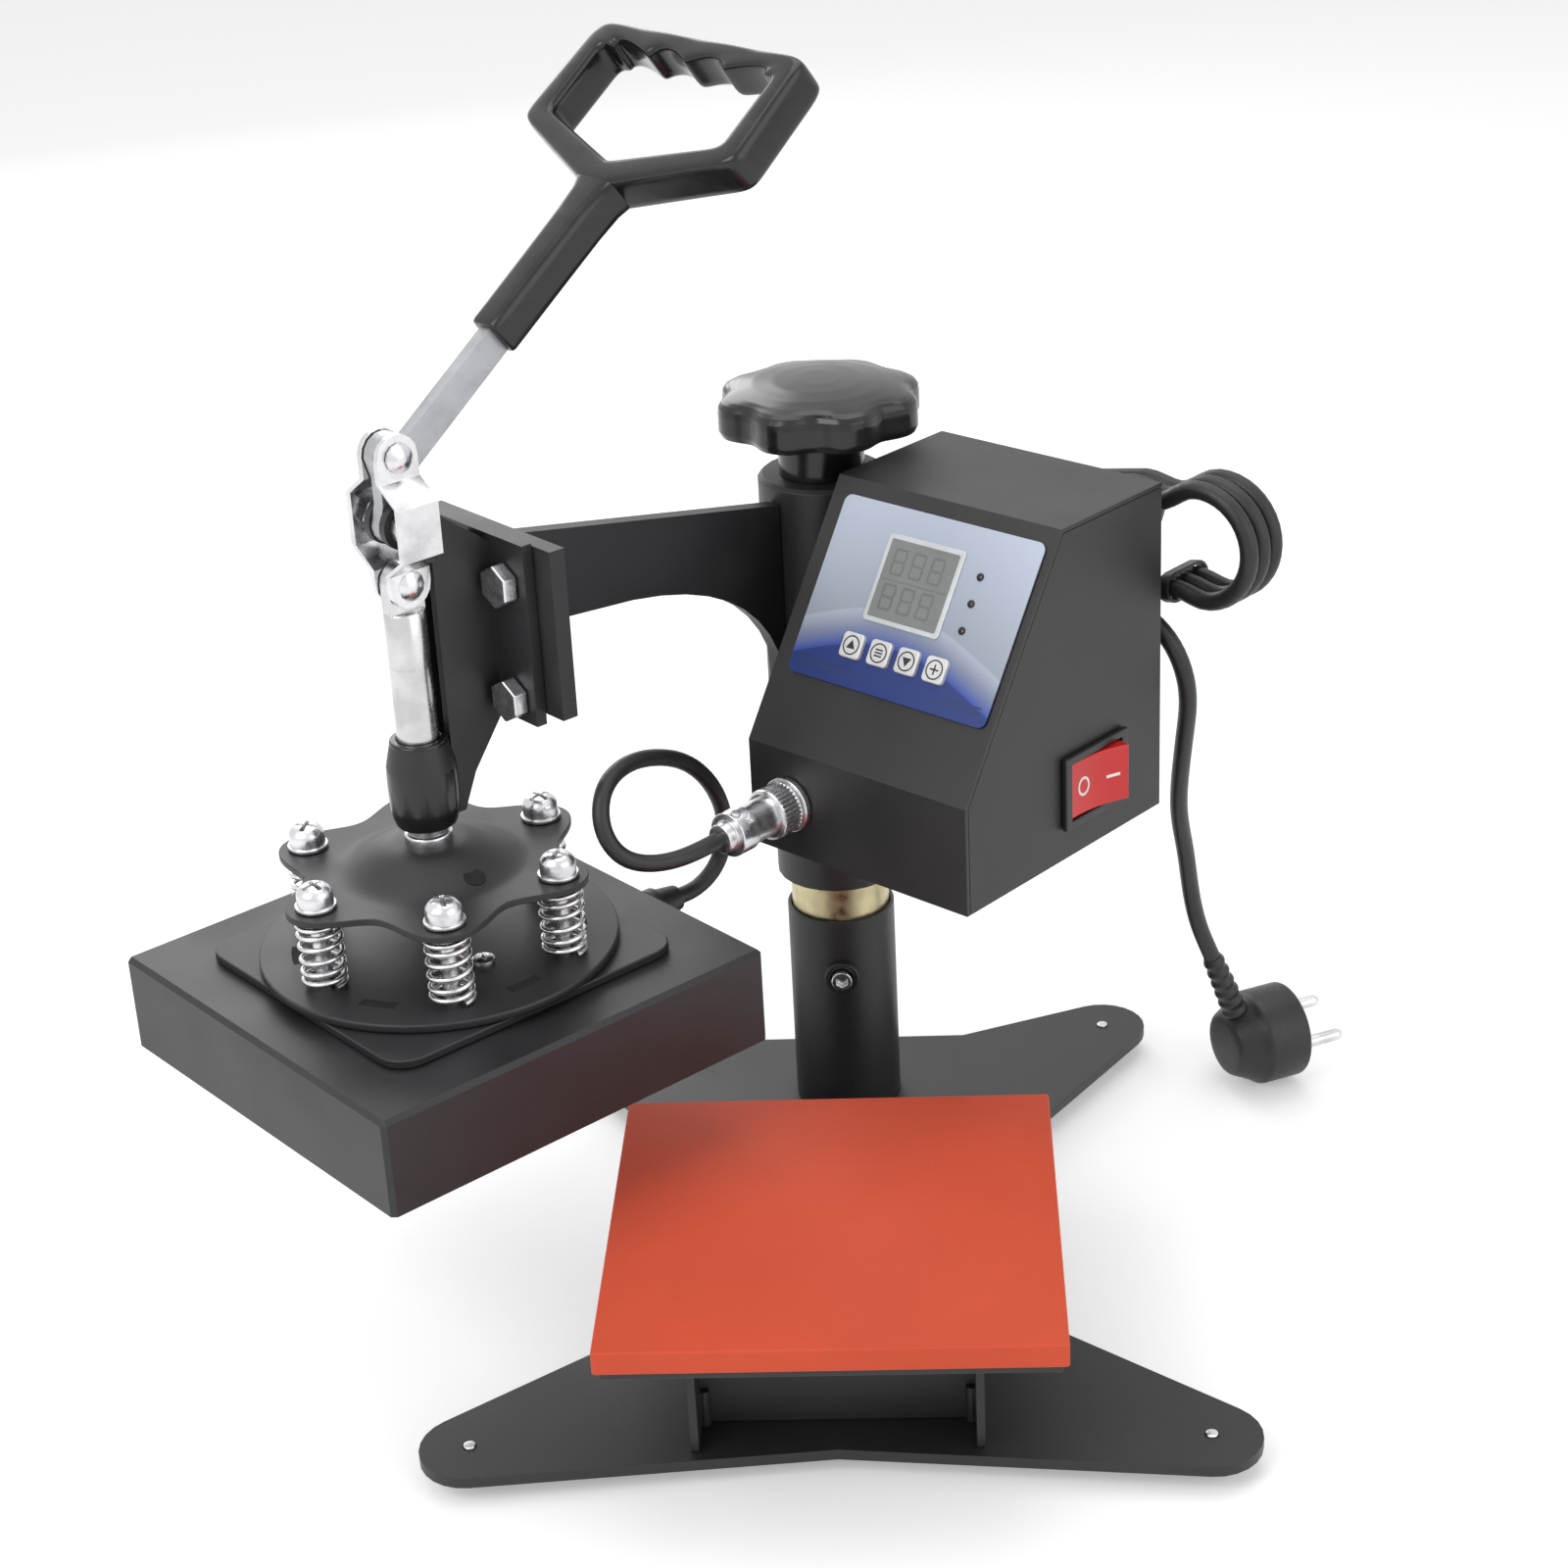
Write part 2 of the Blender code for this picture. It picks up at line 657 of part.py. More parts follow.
def inset(corners, distances):
    """A convex outline with each side, from its corner to the next, moved in by its own distance."""
    count = len(corners)
    sides = []
    for i in range(count):
        start = Vector(corners[i])
        along = (Vector(corners[(i + 1) % count]) - start).normalized()
        inward = Vector((-along.y, along.x))
        sides.append((start + inward * distances[i], along))
    points = []
    for i in range(count):
        (p, u), (q, v) = sides[i - 1], sides[i]
        t = (q - p).cross(v) / u.cross(v)
        points.append(tuple(p + u * t))
    return points


def smooth_route(points, spacing):
    """Points at an even spacing on one smooth curve: a natural cubic through the chosen ones."""
    points = np.array(points, float)
    along = np.concatenate([[0], np.cumsum(np.linalg.norm(np.diff(points, axis=0), axis=1))])
    step = np.diff(along)
    count = len(points)
    system = np.eye(count)
    target = np.zeros((count, 3))
    for i in range(1, count - 1):
        system[i, i - 1:i + 2] = step[i - 1], 2 * (step[i - 1] + step[i]), step[i]
        target[i] = 6 * ((points[i + 1] - points[i]) / step[i] - (points[i] - points[i - 1]) / step[i - 1])
    bend = np.linalg.solve(system, target)
    places = np.linspace(0, along[-1], max(int(along[-1] / spacing), 2) + 1)
    left = np.clip(np.searchsorted(along, places) - 1, 0, count - 2)
    h = step[left][:, None]
    ahead = along[left + 1][:, None] - places[:, None]
    behind = places[:, None] - along[left][:, None]
    return (bend[left] * ahead ** 3 / (6 * h) + bend[left + 1] * behind ** 3 / (6 * h)
            + (points[left] / h - bend[left] * h / 6) * ahead
            + (points[left + 1] / h - bend[left + 1] * h / 6) * behind)


def least_gap(points, radius, apart):
    """The least clear distance between stretches of a tube that lie apart along it."""
    fine = np.vstack([points[:-1] * (1 - t) + points[1:] * t for t in (0, 0.25, 0.5, 0.75)])
    order = np.concatenate([np.arange(len(points) - 1) + t for t in (0, 0.25, 0.5, 0.75)])
    away = np.linalg.norm(fine[:, None] - fine[None], axis=2)
    near = np.abs(order[:, None] - order[None]) < apart
    return float(np.where(near, np.inf, away).min() - 2 * radius)


def tightest_bend(points):
    """The least radius of the circles through each three neighbouring points."""
    a = points[1:-1] - points[:-2]
    b = points[2:] - points[1:-1]
    c = points[2:] - points[:-2]
    area = np.linalg.norm(np.cross(a, b), axis=1)
    sides = np.linalg.norm(a, axis=1) * np.linalg.norm(b, axis=1) * np.linalg.norm(c, axis=1)
    return float((sides / np.maximum(2 * area, 1e-12)).min())


def path_length(points):
    return float(np.linalg.norm(np.diff(points, axis=0), axis=1).sum())


# Base


def leg_places():
    """The four leg tips in stand axes, with their names."""
    return {
        "front_left": (-FRONT_LEG_X, FRONT_LEG_Y),
        "front_right": (FRONT_LEG_X, FRONT_LEG_Y),
        "rear_left": (-REAR_LEG_X, REAR_LEG_Y),
        "rear_right": (REAR_LEG_X, REAR_LEG_Y),
    }


def base_outline():
    """Half of the cross, tip arcs joined by their tangents, and the same mirrored."""
    front = (0, FRONT_EDGE_Y)
    waist_front = (WAIST_HALF, WAIST_FRONT_Y)
    waist_rear = (WAIST_HALF, WAIST_REAR_Y)
    rear = (REAR_EDGE_HALF, REAR_EDGE_Y)
    front_tip = (FRONT_LEG_X, FRONT_LEG_Y)
    rear_tip = (REAR_LEG_X, REAR_LEG_Y)
    right = tip_arc(front_tip, LEG_TIP_RADIUS, front, waist_front, 10)
    right += [waist_front, waist_rear]
    right += tip_arc(rear_tip, LEG_TIP_RADIUS, waist_rear, rear, 10)
    right.append(rear)
    left = [(-x, y) for x, y in reversed(right)]
    return [front] + right + left


def make_base(stand):
    plate = slab("base_plate", stand, [base_outline()], PLATE_THICK, "black_powder_coat",
                 moved(0, 0, PLATE_BOTTOM + PLATE_THICK / 2))
    for name, (x, y) in leg_places().items():
        hole = peg("hole_" + name, stand, FOOT_STUD_RADIUS + GAP, PLATE_BOTTOM - OVERRUN, PLATE_TOP + OVERRUN,
                   place=moved(x, y))
        cut(plate, hole)
        make_foot("foot_" + name, stand, x, y)


def make_foot(name, stand, x, y):
    """A tapered rubber foot moulded on its stud."""
    profile = [
        (0, PLATE_TOP + STUD_STAND_OUT),
        (FOOT_STUD_RADIUS, PLATE_TOP + STUD_STAND_OUT),
        (FOOT_STUD_RADIUS, FOOT_HEIGHT),
        (FOOT_RADIUS, FOOT_HEIGHT),
        (FOOT_RADIUS - FOOT_TAPER, 0),
        (0, 0),
    ]
    turned(name, stand, profile, "black_rubber", moved(x, y), SMALL_STEPS)


def make_table(stand):
    half_width = PEDESTAL_WIDTH / 2
    half_depth = PEDESTAL_DEPTH / 2
    inner = half_width - PEDESTAL_SHEET
    web = half_depth - PEDESTAL_RECESS
    right = [(inner, -half_depth), (half_width, -half_depth), (half_width, half_depth), (inner, half_depth)]
    outer = [(inner, -web)] + right + [(inner, web)]
    outer += [(-x, y) for x, y in reversed(outer)]
    hollow = rectangle(2 * inner, 2 * (web - PEDESTAL_SHEET))
    low = PLATE_TOP + GAP
    high = BED_BOTTOM - GAP
    pedestal = slab("pedestal", stand, [outer, hollow], high - low, "black_powder_coat",
                    moved(0, -REACH, (low + high) / 2))
    for side in (-1, 1):
        weld = peg("weld", stand, WELD_RADIUS, 0, WELD_LENGTH,
                   place=moved(side * (inner - WELD_RADIUS / 2), -REACH - web - WELD_RADIUS / 2, low), steps=8)
        fuse(pedestal, weld)
    bed = block("bed_plate", stand, (BED_SIDE, BED_SIDE, BED_THICK), (-BED_SIDE / 2, -REACH - BED_SIDE / 2, BED_BOTTOM),
                "black_powder_coat")
    bevel(bed, BED_EDGE, 1)
    pad = block("silicone_pad", stand, (PAD_SIDE, PAD_SIDE, PAD_THICK),
                (-PAD_SIDE / 2, -REACH - PAD_SIDE / 2, PAD_BOTTOM), "silicone")
    bevel(pad, PAD_EDGE, 2)


def make_column(stand):
    inner = TUBE_RADIUS - TUBE_WALL
    low = PLATE_TOP + GAP
    tube = turned("column_tube", stand, [
        (inner, TUBE_TOP),
        (TUBE_RADIUS - TUBE_LIP, TUBE_TOP),
        (TUBE_RADIUS, TUBE_TOP - TUBE_LIP),
        (TUBE_RADIUS, low),
        (inner, low),
    ], "black_powder_coat", ring=True)
    front = moved(0, 0, SET_SCREW_Z) @ AGAINST_Y
    boss = peg("set_screw_boss", stand, SET_SCREW_BOSS_RADIUS, inner + TUBE_WALL / 2, TUBE_RADIUS + SET_SCREW_BOSS, place=front)
    hole = peg("set_screw_hole", stand, SET_SCREW_RADIUS + GAP, POST_RADIUS - OVERRUN,
               TUBE_RADIUS + SET_SCREW_BOSS + OVERRUN, place=front)
    fuse(tube, boss)
    cut(tube, hole)
    tip = TUBE_RADIUS + SET_SCREW_BOSS + SET_SCREW_PROUD
    screw = peg("column_set_screw", stand, SET_SCREW_RADIUS, POST_RADIUS + GAP, tip, "zinc_steel", front)
    cut(screw, peg("set_screw_socket", stand, SET_SCREW_SOCKET_RADIUS, tip - SET_SCREW_SOCKET, tip + OVERRUN, place=front, steps=6))
    well = SPINDLE_RADIUS + GAP
    floor = SPINDLE_TIP - GAP
    turned("column_post", stand, [
        (0, floor),
        (well, floor),
        (well, POST_TOP),
        (POST_RADIUS, POST_TOP),
        (POST_RADIUS, TUBE_TOP - POST_DEPTH),
        (0, TUBE_TOP - POST_DEPTH),
    ], "yellow_zinc")


# Swing arm


def make_hub(arm, box):
    bore = POST_RADIUS + GAP
    hub = turned("swing_hub", arm, [
        (SPINDLE_RADIUS + GAP, HUB_TOP),
        (HUB_RADIUS - HUB_CHAMFER, HUB_TOP),
        (HUB_RADIUS, HUB_TOP - HUB_CHAMFER),
        (HUB_RADIUS, HUB_BOTTOM),
        (bore, HUB_BOTTOM),
        (bore, HUB_TOP - HUB_CAP),
        (SPINDLE_RADIUS + GAP, HUB_TOP - HUB_CAP),
    ], "black_powder_coat", ring=True)
    reach = BOX_LEFT - GAP - (HUB_RADIUS - BRACKET_REACH)
    lug = block("box_lug", box, (reach, BRACKET_DEPTH, BRACKET_HEIGHT),
                (HUB_RADIUS - BRACKET_REACH, -BRACKET_DEPTH / 2, BOX_BOTTOM + (BOX_HEIGHT - BRACKET_HEIGHT) / 2))
    fuse(hub, lug)


def sweep_points(start, control, end, steps):
    """A curve that leaves its start and meets its end along the lines to one control point."""
    t = np.linspace(0, 1, steps + 1)[:, None]
    points = np.array(start) * (1 - t) ** 2 + 2 * np.array(control) * t * (1 - t) + np.array(end) * t ** 2
    return [tuple(point) for point in points]


def make_arm_plate(arm):
    """The profiled plate from the hub to its flange, drawn in the plane of Y and Z."""
    root = -HUB_RADIUS - GAP
    front = FLANGE_FRONT_Y + FLANGE_THICK / 2
    outline = [(front, ARM_NOSE_BOTTOM)]
    outline += sweep_points((ARM_MID_Y, ARM_MID_BOTTOM), (ARM_SWEEP_Y, ARM_SWEEP_BOTTOM),
                            (ARM_THROAT_Y, ARM_THROAT_BOTTOM), ARM_CURVE_STEPS)
    outline += [(root, ARM_ROOT_BOTTOM), (root, ARM_ROOT_TOP), (front, ARM_NOSE_TOP)]
    plate = slab("swing_arm_plate", arm, [outline], ARM_THICK, "black_powder_coat", SIDE_PLAN)
    flange = block("arm_flange", arm, (FLANGE_WIDTH, FLANGE_THICK, FLANGE_TOP - FLANGE_BOTTOM),
                   (-FLANGE_WIDTH / 2, FLANGE_FRONT_Y, FLANGE_BOTTOM))
    fuse(plate, flange)
    cut(plate, *bolt_pegs("arm_hole", arm, BOLT_RADIUS + GAP, -OVERRUN, FLANGE_THICK + OVERRUN))


def bolt_places():
    return [(side * BOLT_X, z) for z in (BOLT_Z_HIGH, BOLT_Z_LOW) for side in (-1, 1)]


def bolt_pegs(name, arm, radius, low, high, steps=SMALL_STEPS):
    """A peg at each flange bolt, its heights counted back from the arm flange's face."""
    return [peg(name, arm, radius, low, high, place=moved(x, FLANGE_FRONT_Y, z) @ ALONG_Y, steps=steps)
            for x, z in bolt_places()]


def make_bolts(arm):
    """Hex bolts from the clamp's side, each with its nut behind the arm flange."""
    head_face = -GAP - CLAMP_FLANGE_THICK - GAP
    for number, (x, z) in enumerate(bolt_places(), 1):
        place = moved(x, FLANGE_FRONT_Y, z) @ ALONG_Y
        bolt = peg(f"clamp_bolt_{number}", arm, BOLT_RADIUS, head_face - BOLT_HEAD / 2,
                   FLANGE_THICK + GAP + NUT_THICK + BOLT_RADIUS / 2, "zinc_steel", place, 12)
        head = peg("bolt_head", arm, BOLT_HEAD_RADIUS, head_face - BOLT_HEAD, head_face, place=place, steps=6)
        nut = peg("bolt_nut", arm, BOLT_HEAD_RADIUS, FLANGE_THICK + GAP, FLANGE_THICK + GAP + NUT_THICK, place=place,
                  steps=6)
        fuse(bolt, head, nut)


def make_clamp(arm):
    """Mounting flange, two cheeks up to the lever's pivot, and the barrel that guides the rod."""
    rear = FLANGE_FRONT_Y - GAP
    front = rear - CLAMP_FLANGE_THICK
    clamp = block("clamp_frame", arm, (CLAMP_FLANGE_WIDTH, CLAMP_FLANGE_THICK, CLAMP_FLANGE_TOP - CLAMP_FLANGE_BOTTOM),
                  (-CLAMP_FLANGE_WIDTH / 2, front, CLAMP_FLANGE_BOTTOM), "black_powder_coat")
    seat = front + CLAMP_FLANGE_THICK / 2
    pivot = (-REACH, PIVOT_Z)
    shoulder = (seat, CLAMP_FLANGE_TOP - CLAMP_FLANGE_THICK)
    neck = (CHEEK_FRONT_Y, PIVOT_NECK_Z)
    boss = arc(pivot, PIVOT_BOSS_RADIUS, tangent(pivot, PIVOT_BOSS_RADIUS, shoulder, 1), math.radians(315), 14)
    outline = [(seat, CHEEK_HEEL_Z), shoulder] + boss + [neck, (CHEEK_FRONT_Y, CHEEK_BOTTOM), (CHEEK_TOE_Y, CHEEK_BOTTOM),
                                                         (CHEEK_KNEE_Y, CHEEK_KNEE_Z)]
    cheeks = []
    for side in (-1, 1):
        shift = moved(side * (CHEEK_SPACE + CHEEK_THICK) / 2)
        cheeks.append(slab("cheek", arm, [outline], CHEEK_THICK, place=shift @ SIDE_PLAN))
    barrel = turned("barrel", arm, [
        (ROD_RADIUS + GAP, BARREL_TOP),
        (BARREL_NECK_RADIUS, BARREL_TOP),
        (BARREL_RADIUS, BARREL_TOP - BARREL_SHOULDER),
        (BARREL_RADIUS, BARREL_BOTTOM + BARREL_SHOULDER),
        (BARREL_NECK_RADIUS, BARREL_BOTTOM),
        (ROD_RADIUS + GAP, BARREL_BOTTOM),
    ], place=moved(0, -REACH), ring=True)
    pivot_bore = peg("pivot_bore", arm, PIVOT_PIN_RADIUS + GAP, -CHEEK_SPACE - CHEEK_THICK, CHEEK_SPACE + CHEEK_THICK,
                     place=moved(0, -REACH, PIVOT_Z) @ ALONG_X)
    fuse(clamp, *cheeks, barrel)
    cut(clamp, pivot_bore, *bolt_pegs("clamp_hole", arm, BOLT_RADIUS + GAP,
                                                -CLAMP_FLANGE_THICK - OVERRUN, OVERRUN))
    make_pivot_bolt(arm)


def make_pivot_bolt(arm):
    place = moved(0, -REACH, PIVOT_Z) @ ALONG_X
    face = CHEEK_SPACE / 2 + CHEEK_THICK + GAP
    bolt = peg("lever_pivot_bolt", arm, PIVOT_PIN_RADIUS, -face - PIVOT_HEAD / 2, face + PIVOT_HEAD / 2, "zinc_steel", place)
    head = peg("pivot_head", arm, PIVOT_HEAD_RADIUS, face, face + PIVOT_HEAD, place=place)
    nut = peg("pivot_nut", arm, PIVOT_HEAD_RADIUS, -face - PIVOT_HEAD, -face, place=place, steps=6)
    fuse(bolt, head, nut)


# Pressure knob


def make_knob(knob):
    """Eight lobes round a skirt, a shallow dome, and a neck with a socket for the spindle."""
    angles = np.arange(KNOB_POINTS) * 2 * math.pi / KNOB_POINTS
    radii = KNOB_RADIUS - KNOB_FLUTE_DEPTH * (1 + np.cos(KNOB_LOBES * angles)) / 2
    outline = list(zip(radii * np.cos(angles), radii * np.sin(angles)))
    neck_low = HUB_TOP + GAP
    skirt_low = neck_low + KNOB_NECK
    skirt = slab("pressure_knob", knob, [outline], KNOB_SKIRT, "black_plastic",
                 moved(0, 0, skirt_low + KNOB_SKIRT / 2), KNOB_EDGE)
    crown = KNOB_RADIUS - KNOB_FLUTE_DEPTH - KNOB_EDGE
    top = skirt_low + KNOB_SKIRT
    dome = turned("knob_dome", knob, [
        (0, top + KNOB_DOME),
        (crown / 2, top + KNOB_DOME - KNOB_DOME / 8),
        (crown - KNOB_DOME_EDGE, top + KNOB_DOME / 2),
        (crown, top - KNOB_EDGE / 2),
        (0, top - KNOB_EDGE / 2),
    ])
    neck = peg("knob_neck", knob, KNOB_NECK_RADIUS, neck_low, skirt_low + KNOB_EDGE, steps=ROUND_STEPS)
    socket = peg("knob_socket", knob, SPINDLE_RADIUS + GAP, neck_low - OVERRUN, neck_low + KNOB_SOCKET)
    fuse(skirt, dome, neck)
    cut(skirt, socket)
    peg("knob_spindle", knob, SPINDLE_RADIUS, SPINDLE_TIP, neck_low + KNOB_SOCKET - GAP, "zinc_steel")


# Toggle


def make_lever(lever):
    """The steel strip from the pivot past the crank pin to the handle, drawn from the pivot."""
    along = Vector((math.cos(HANDLE_ANGLE), math.sin(HANDLE_ANGLE)))
    normal = Vector((-along.y, along.x))
    crank = Vector((0, CRANK))
    base = crank - normal * LEVER_DROP
    end = base + along * LEVER_END
    low_start = base - normal * LEVER_HALF
    meet = low_start + along * ((LEVER_HALF - low_start.x) / along.x)
    outline = arc((0, 0), LEVER_EYE_RADIUS, math.pi, 2 * math.pi, 8)
    outline += [(LEVER_HALF, LEVER_EYE_RADIUS), tuple(meet), tuple(end - normal * LEVER_HALF), tuple(end + normal * LEVER_HALF)]
    outline += arc(crank, LEVER_EYE_RADIUS, HANDLE_ANGLE, math.pi, 6)
    outline += [(-LEVER_HALF, CRANK - LEVER_EYE_RADIUS), (-LEVER_HALF, LEVER_EYE_RADIUS)]
    bar = slab("lever_bar", lever, [outline], LEVER_THICK, "zinc_steel", SIDE_PLAN)
    eye = peg("lever_eye", lever, PIVOT_PIN_RADIUS + GAP, -LEVER_THICK, LEVER_THICK, place=ALONG_X)
    crank_eye = peg("crank_eye", lever, RIVET_RADIUS + GAP, -LEVER_THICK, LEVER_THICK,
                    place=moved(0, 0, CRANK) @ ALONG_X)
    cut(bar, eye, crank_eye)
    make_rivet(lever)
    tilt = Matrix.Rotation(HANDLE_ANGLE, 4, "X")
    handle = axis_empty("handle_axis", lever, moved(0, *base) @ tilt)
    make_grip(handle)


def make_rivet(lever):
    """The crank pin through lever and links, with a domed head at each end."""
    place = moved(0, 0, CRANK) @ ALONG_X
    face = LINK_EAR_IN + LINK_THICK + GAP
    pin = peg("crank_pin", lever, RIVET_RADIUS, -face - RIVET_HEAD / 2, face + RIVET_HEAD / 2, "zinc_steel", place)
    fuse(pin, domed_head("crank_head_right", lever, place @ moved(0, 0, face)),
         domed_head("crank_head_left", lever, place @ Matrix.Rotation(math.pi, 4, "X") @ moved(0, 0, face)))


def domed_head(name, parent, place):
    return turned(name, parent, [
        (0, RIVET_HEAD),
        (RIVET_HEAD_RADIUS / 2, RIVET_HEAD * 0.86),
        (RIVET_HEAD_RADIUS, RIVET_HEAD / 3),
        (RIVET_HEAD_RADIUS, 0),
        (0, 0),
    ], place=place, steps=SMALL_STEPS)


def make_grip(handle):
    """A moulded D-handle: neck and ring, drawn along the lever, with a scalloped finger bar."""
    neck = block("handle_grip", handle, (GRIP_NECK_WIDTH, GRIP_NECK_END - GRIP_START, GRIP_NECK_DEPTH),
                 (-GRIP_NECK_WIDTH / 2, GRIP_START, GRIP_RISE - GRIP_NECK_DEPTH / 2), "black_plastic")
    bevel(neck, GRIP_EDGE, 3)
    outer = rounded([(GRIP_NECK_WIDTH / 2, RING_FOOT), (RING_HALF_LOW, RING_SIDE), (RING_HALF_TOP, RING_TOP),
                     (-RING_HALF_TOP, RING_TOP), (-RING_HALF_LOW, RING_SIDE), (-GRIP_NECK_WIDTH / 2, RING_FOOT)], RING_CORNER, 3)
    count = GROOVES * GROOVE_POINTS
    across = np.linspace(RING_HOLE_HALF, -RING_HOLE_HALF, count + 1)
    groove = RING_HOLE_TOP + GROOVE_DEPTH * (1 - np.cos(2 * math.pi * GROOVES * (across / RING_HOLE_HALF + 1) / 2)) / 2
    hole = [(-RING_HOLE_HALF, RING_HOLE_SIDE), (0, RING_HOLE_FOOT), (RING_HOLE_HALF, RING_HOLE_SIDE),
            (RING_HOLE_HALF, RING_HOLE_TOP)]
    hole += list(zip(across[1:-1], groove[1:-1])) + [(-RING_HOLE_HALF, RING_HOLE_TOP)]
    ring = slab("grip_ring", handle, [outer, hole[::-1]], RING_DEPTH, place=moved(0, 0, GRIP_RISE), edge=RING_EDGE)
    slot = block("grip_slot", handle, (LEVER_THICK + 2 * GAP, LEVER_END + GAP - GRIP_START + OVERRUN, 2 * (LEVER_HALF + GAP)),
                 (-LEVER_THICK / 2 - GAP, GRIP_START - OVERRUN, -LEVER_HALF - GAP))
    fuse(neck, ring)
    cut(neck, slot)


def make_link(link):
    """Two plates, close at their ears and wide round the clamp's pivot; each keeps its lower pin's end."""
    top = LINK_WIDTH / 2
    low = -LINK_LENGTH - LINK_WIDTH / 2
    middle = -CRANK
    heights = [top, middle + LINK_BULGE_HALF + LINK_JOGGLE, middle + LINK_BULGE_HALF, middle - LINK_BULGE_HALF,
               middle - LINK_BULGE_HALF - LINK_JOGGLE, low]
    inner = [LINK_EAR_IN, LINK_EAR_IN, LINK_BULGE_IN, LINK_BULGE_IN, LINK_EAR_IN, LINK_EAR_IN]
    stadium = arc((0, 0), LINK_WIDTH / 2, 0, math.pi, 8) + arc((0, -LINK_LENGTH), LINK_WIDTH / 2, math.pi, 2 * math.pi, 8)
    for side, name in ((-1, "toggle_link_left"), (1, "toggle_link_right")):
        profile = [(side * x, z) for x, z in zip(inner, heights)]
        profile += [(side * (x + LINK_THICK), z) for x, z in zip(reversed(inner), reversed(heights))]
        plate = slab(name, link, [profile], LINK_WIDTH + OVERRUN, "zinc_steel", FRONT_PLAN)
        outline = slab("link_outline", link, [stadium], 4 * LINK_BULGE_IN, place=SIDE_PLAN)
        boolean(plate, [outline], "INTERSECT")
        cut(plate, peg("link_eye", link, RIVET_RADIUS + GAP, -LINK_BULGE_IN, LINK_BULGE_IN, place=ALONG_X))
        face = moved(side * (LINK_EAR_IN + LINK_THICK - RIVET_HEAD / 4), 0, -LINK_LENGTH)
        turn = ALONG_X if side > 0 else Matrix.Rotation(-RIGHT_ANGLE, 4, "Y")
        fuse(plate, domed_head("link_pin_end", link, face @ turn))


# Plunger and spider


def make_rod(plunger):
    """The guided rod: a flat tang for the toggle at its top and a stud through the spider."""
    low = SPIDER_CROWN + GAP
    shoulder = PIN_Z - ROD_SHOULDER
    rod = turned("plunger_rod", plunger, [
        (0, shoulder),
        (ROD_RADIUS - ROD_BEVEL, shoulder),
        (ROD_RADIUS, shoulder - ROD_BEVEL),
        (ROD_RADIUS, low),
        (ROD_STUD_RADIUS, low),
        (ROD_STUD_RADIUS, low - ROD_STUD),
        (0, low - ROD_STUD),
    ], "zinc_steel")
    tang_round = arc((0, PIN_Z), TANG_HALF, 0, math.pi, 8)
    tang = slab("rod_tang", plunger, [tang_round + [(-TANG_HALF, shoulder - ROD_BEVEL * 2), (TANG_HALF, shoulder - ROD_BEVEL * 2)]],
                TANG_THICK, place=SIDE_PLAN)
    fuse(rod, tang)


def screw_places():
    """The shoulder screws' places round the plunger's axis, one of them at the front."""
    angles = [2 * math.pi * i / SCREW_COUNT - RIGHT_ANGLE for i in range(SCREW_COUNT)]
    return [(SCREW_CIRCLE * math.cos(a), SCREW_CIRCLE * math.sin(a)) for a in angles]


def make_spider(plunger):
    """A domed plate whose rim has a lobe at each screw: rings from the hub out, made thick."""
    crown = SPIDER_CROWN - SPIDER_THICK
    base = SPIDER_Z
    shares = np.linspace(0, 1, DOME_RINGS)
    bore = ROD_STUD_RADIUS + GAP
    radii = np.concatenate([[bore], DOME_CROWN_RADIUS + (DOME_RADIUS - DOME_CROWN_RADIUS) * shares])
    slope = (1 + np.cos(math.pi * shares)) / 2
    heights = np.concatenate([[crown], base + (crown - base) * slope])
    angles = np.arange(SPIDER_SPOKES) * 2 * math.pi / SPIDER_SPOKES
    mean = (SPIDER_TIP_RADIUS + SPIDER_VALLEY_RADIUS) / 2
    swing = (SPIDER_TIP_RADIUS - SPIDER_VALLEY_RADIUS) / 2
    rim = mean - swing * np.cos(SPIDER_LOBES * (angles))
    rings = [[(r, z)] * SPIDER_SPOKES for r, z in zip(radii, heights)] + [[(r, base) for r in rim]]
    bm = bmesh.new()
    rows = []
    for ring in rings:
        rows.append([bm.verts.new((r * math.cos(a), r * math.sin(a), z)) for a, (r, z) in zip(angles, ring)])
    for inner, outer in zip(rows, rows[1:]):
        for i in range(SPIDER_SPOKES):
            j = (i + 1) % SPIDER_SPOKES
            bm.faces.new((inner[i], outer[i], outer[j], inner[j]))
    mesh = bpy.data.meshes.new("spider_plate")
    bm.to_mesh(mesh)
    bm.free()
    spider = hang(bpy.data.objects.new("spider_plate", mesh), plunger, Matrix(), "black_powder_coat")
    wall = spider.modifiers.new("wall", "SOLIDIFY")
    wall.thickness = SPIDER_THICK
    wall.offset = 1
    for x, y in screw_places():
        cut(spider, peg("spider_hole", plunger, SCREW_RADIUS + GAP, base - OVERRUN, base + SPIDER_THICK + OVERRUN,
                        place=moved(x, y), steps=12))
    cut(spider, peg("sight_hole", plunger, SIGHT_HOLE_RADIUS, base, SPIDER_CROWN, place=moved(SIGHT_HOLE_X)))


def spring_points(low, high):
    """A helix between two plates, each end a straight wire diameter square to its plate."""
    stub = 2 * SPRING_WIRE_RADIUS
    count = int(SPRING_TURNS * SPRING_POINTS)
    turn = np.linspace(0, SPRING_TURNS, count + 1)
    angle = 2 * math.pi * turn
    height = low + stub + (high - low - 2 * stub) * turn / SPRING_TURNS
    coil = np.column_stack([SPRING_RADIUS * np.cos(angle), SPRING_RADIUS * np.sin(angle), height])
    start = coil[0] - (0, 0, stub)
    end = coil[-1] + (0, 0, stub)
    return np.vstack([start, coil, end])


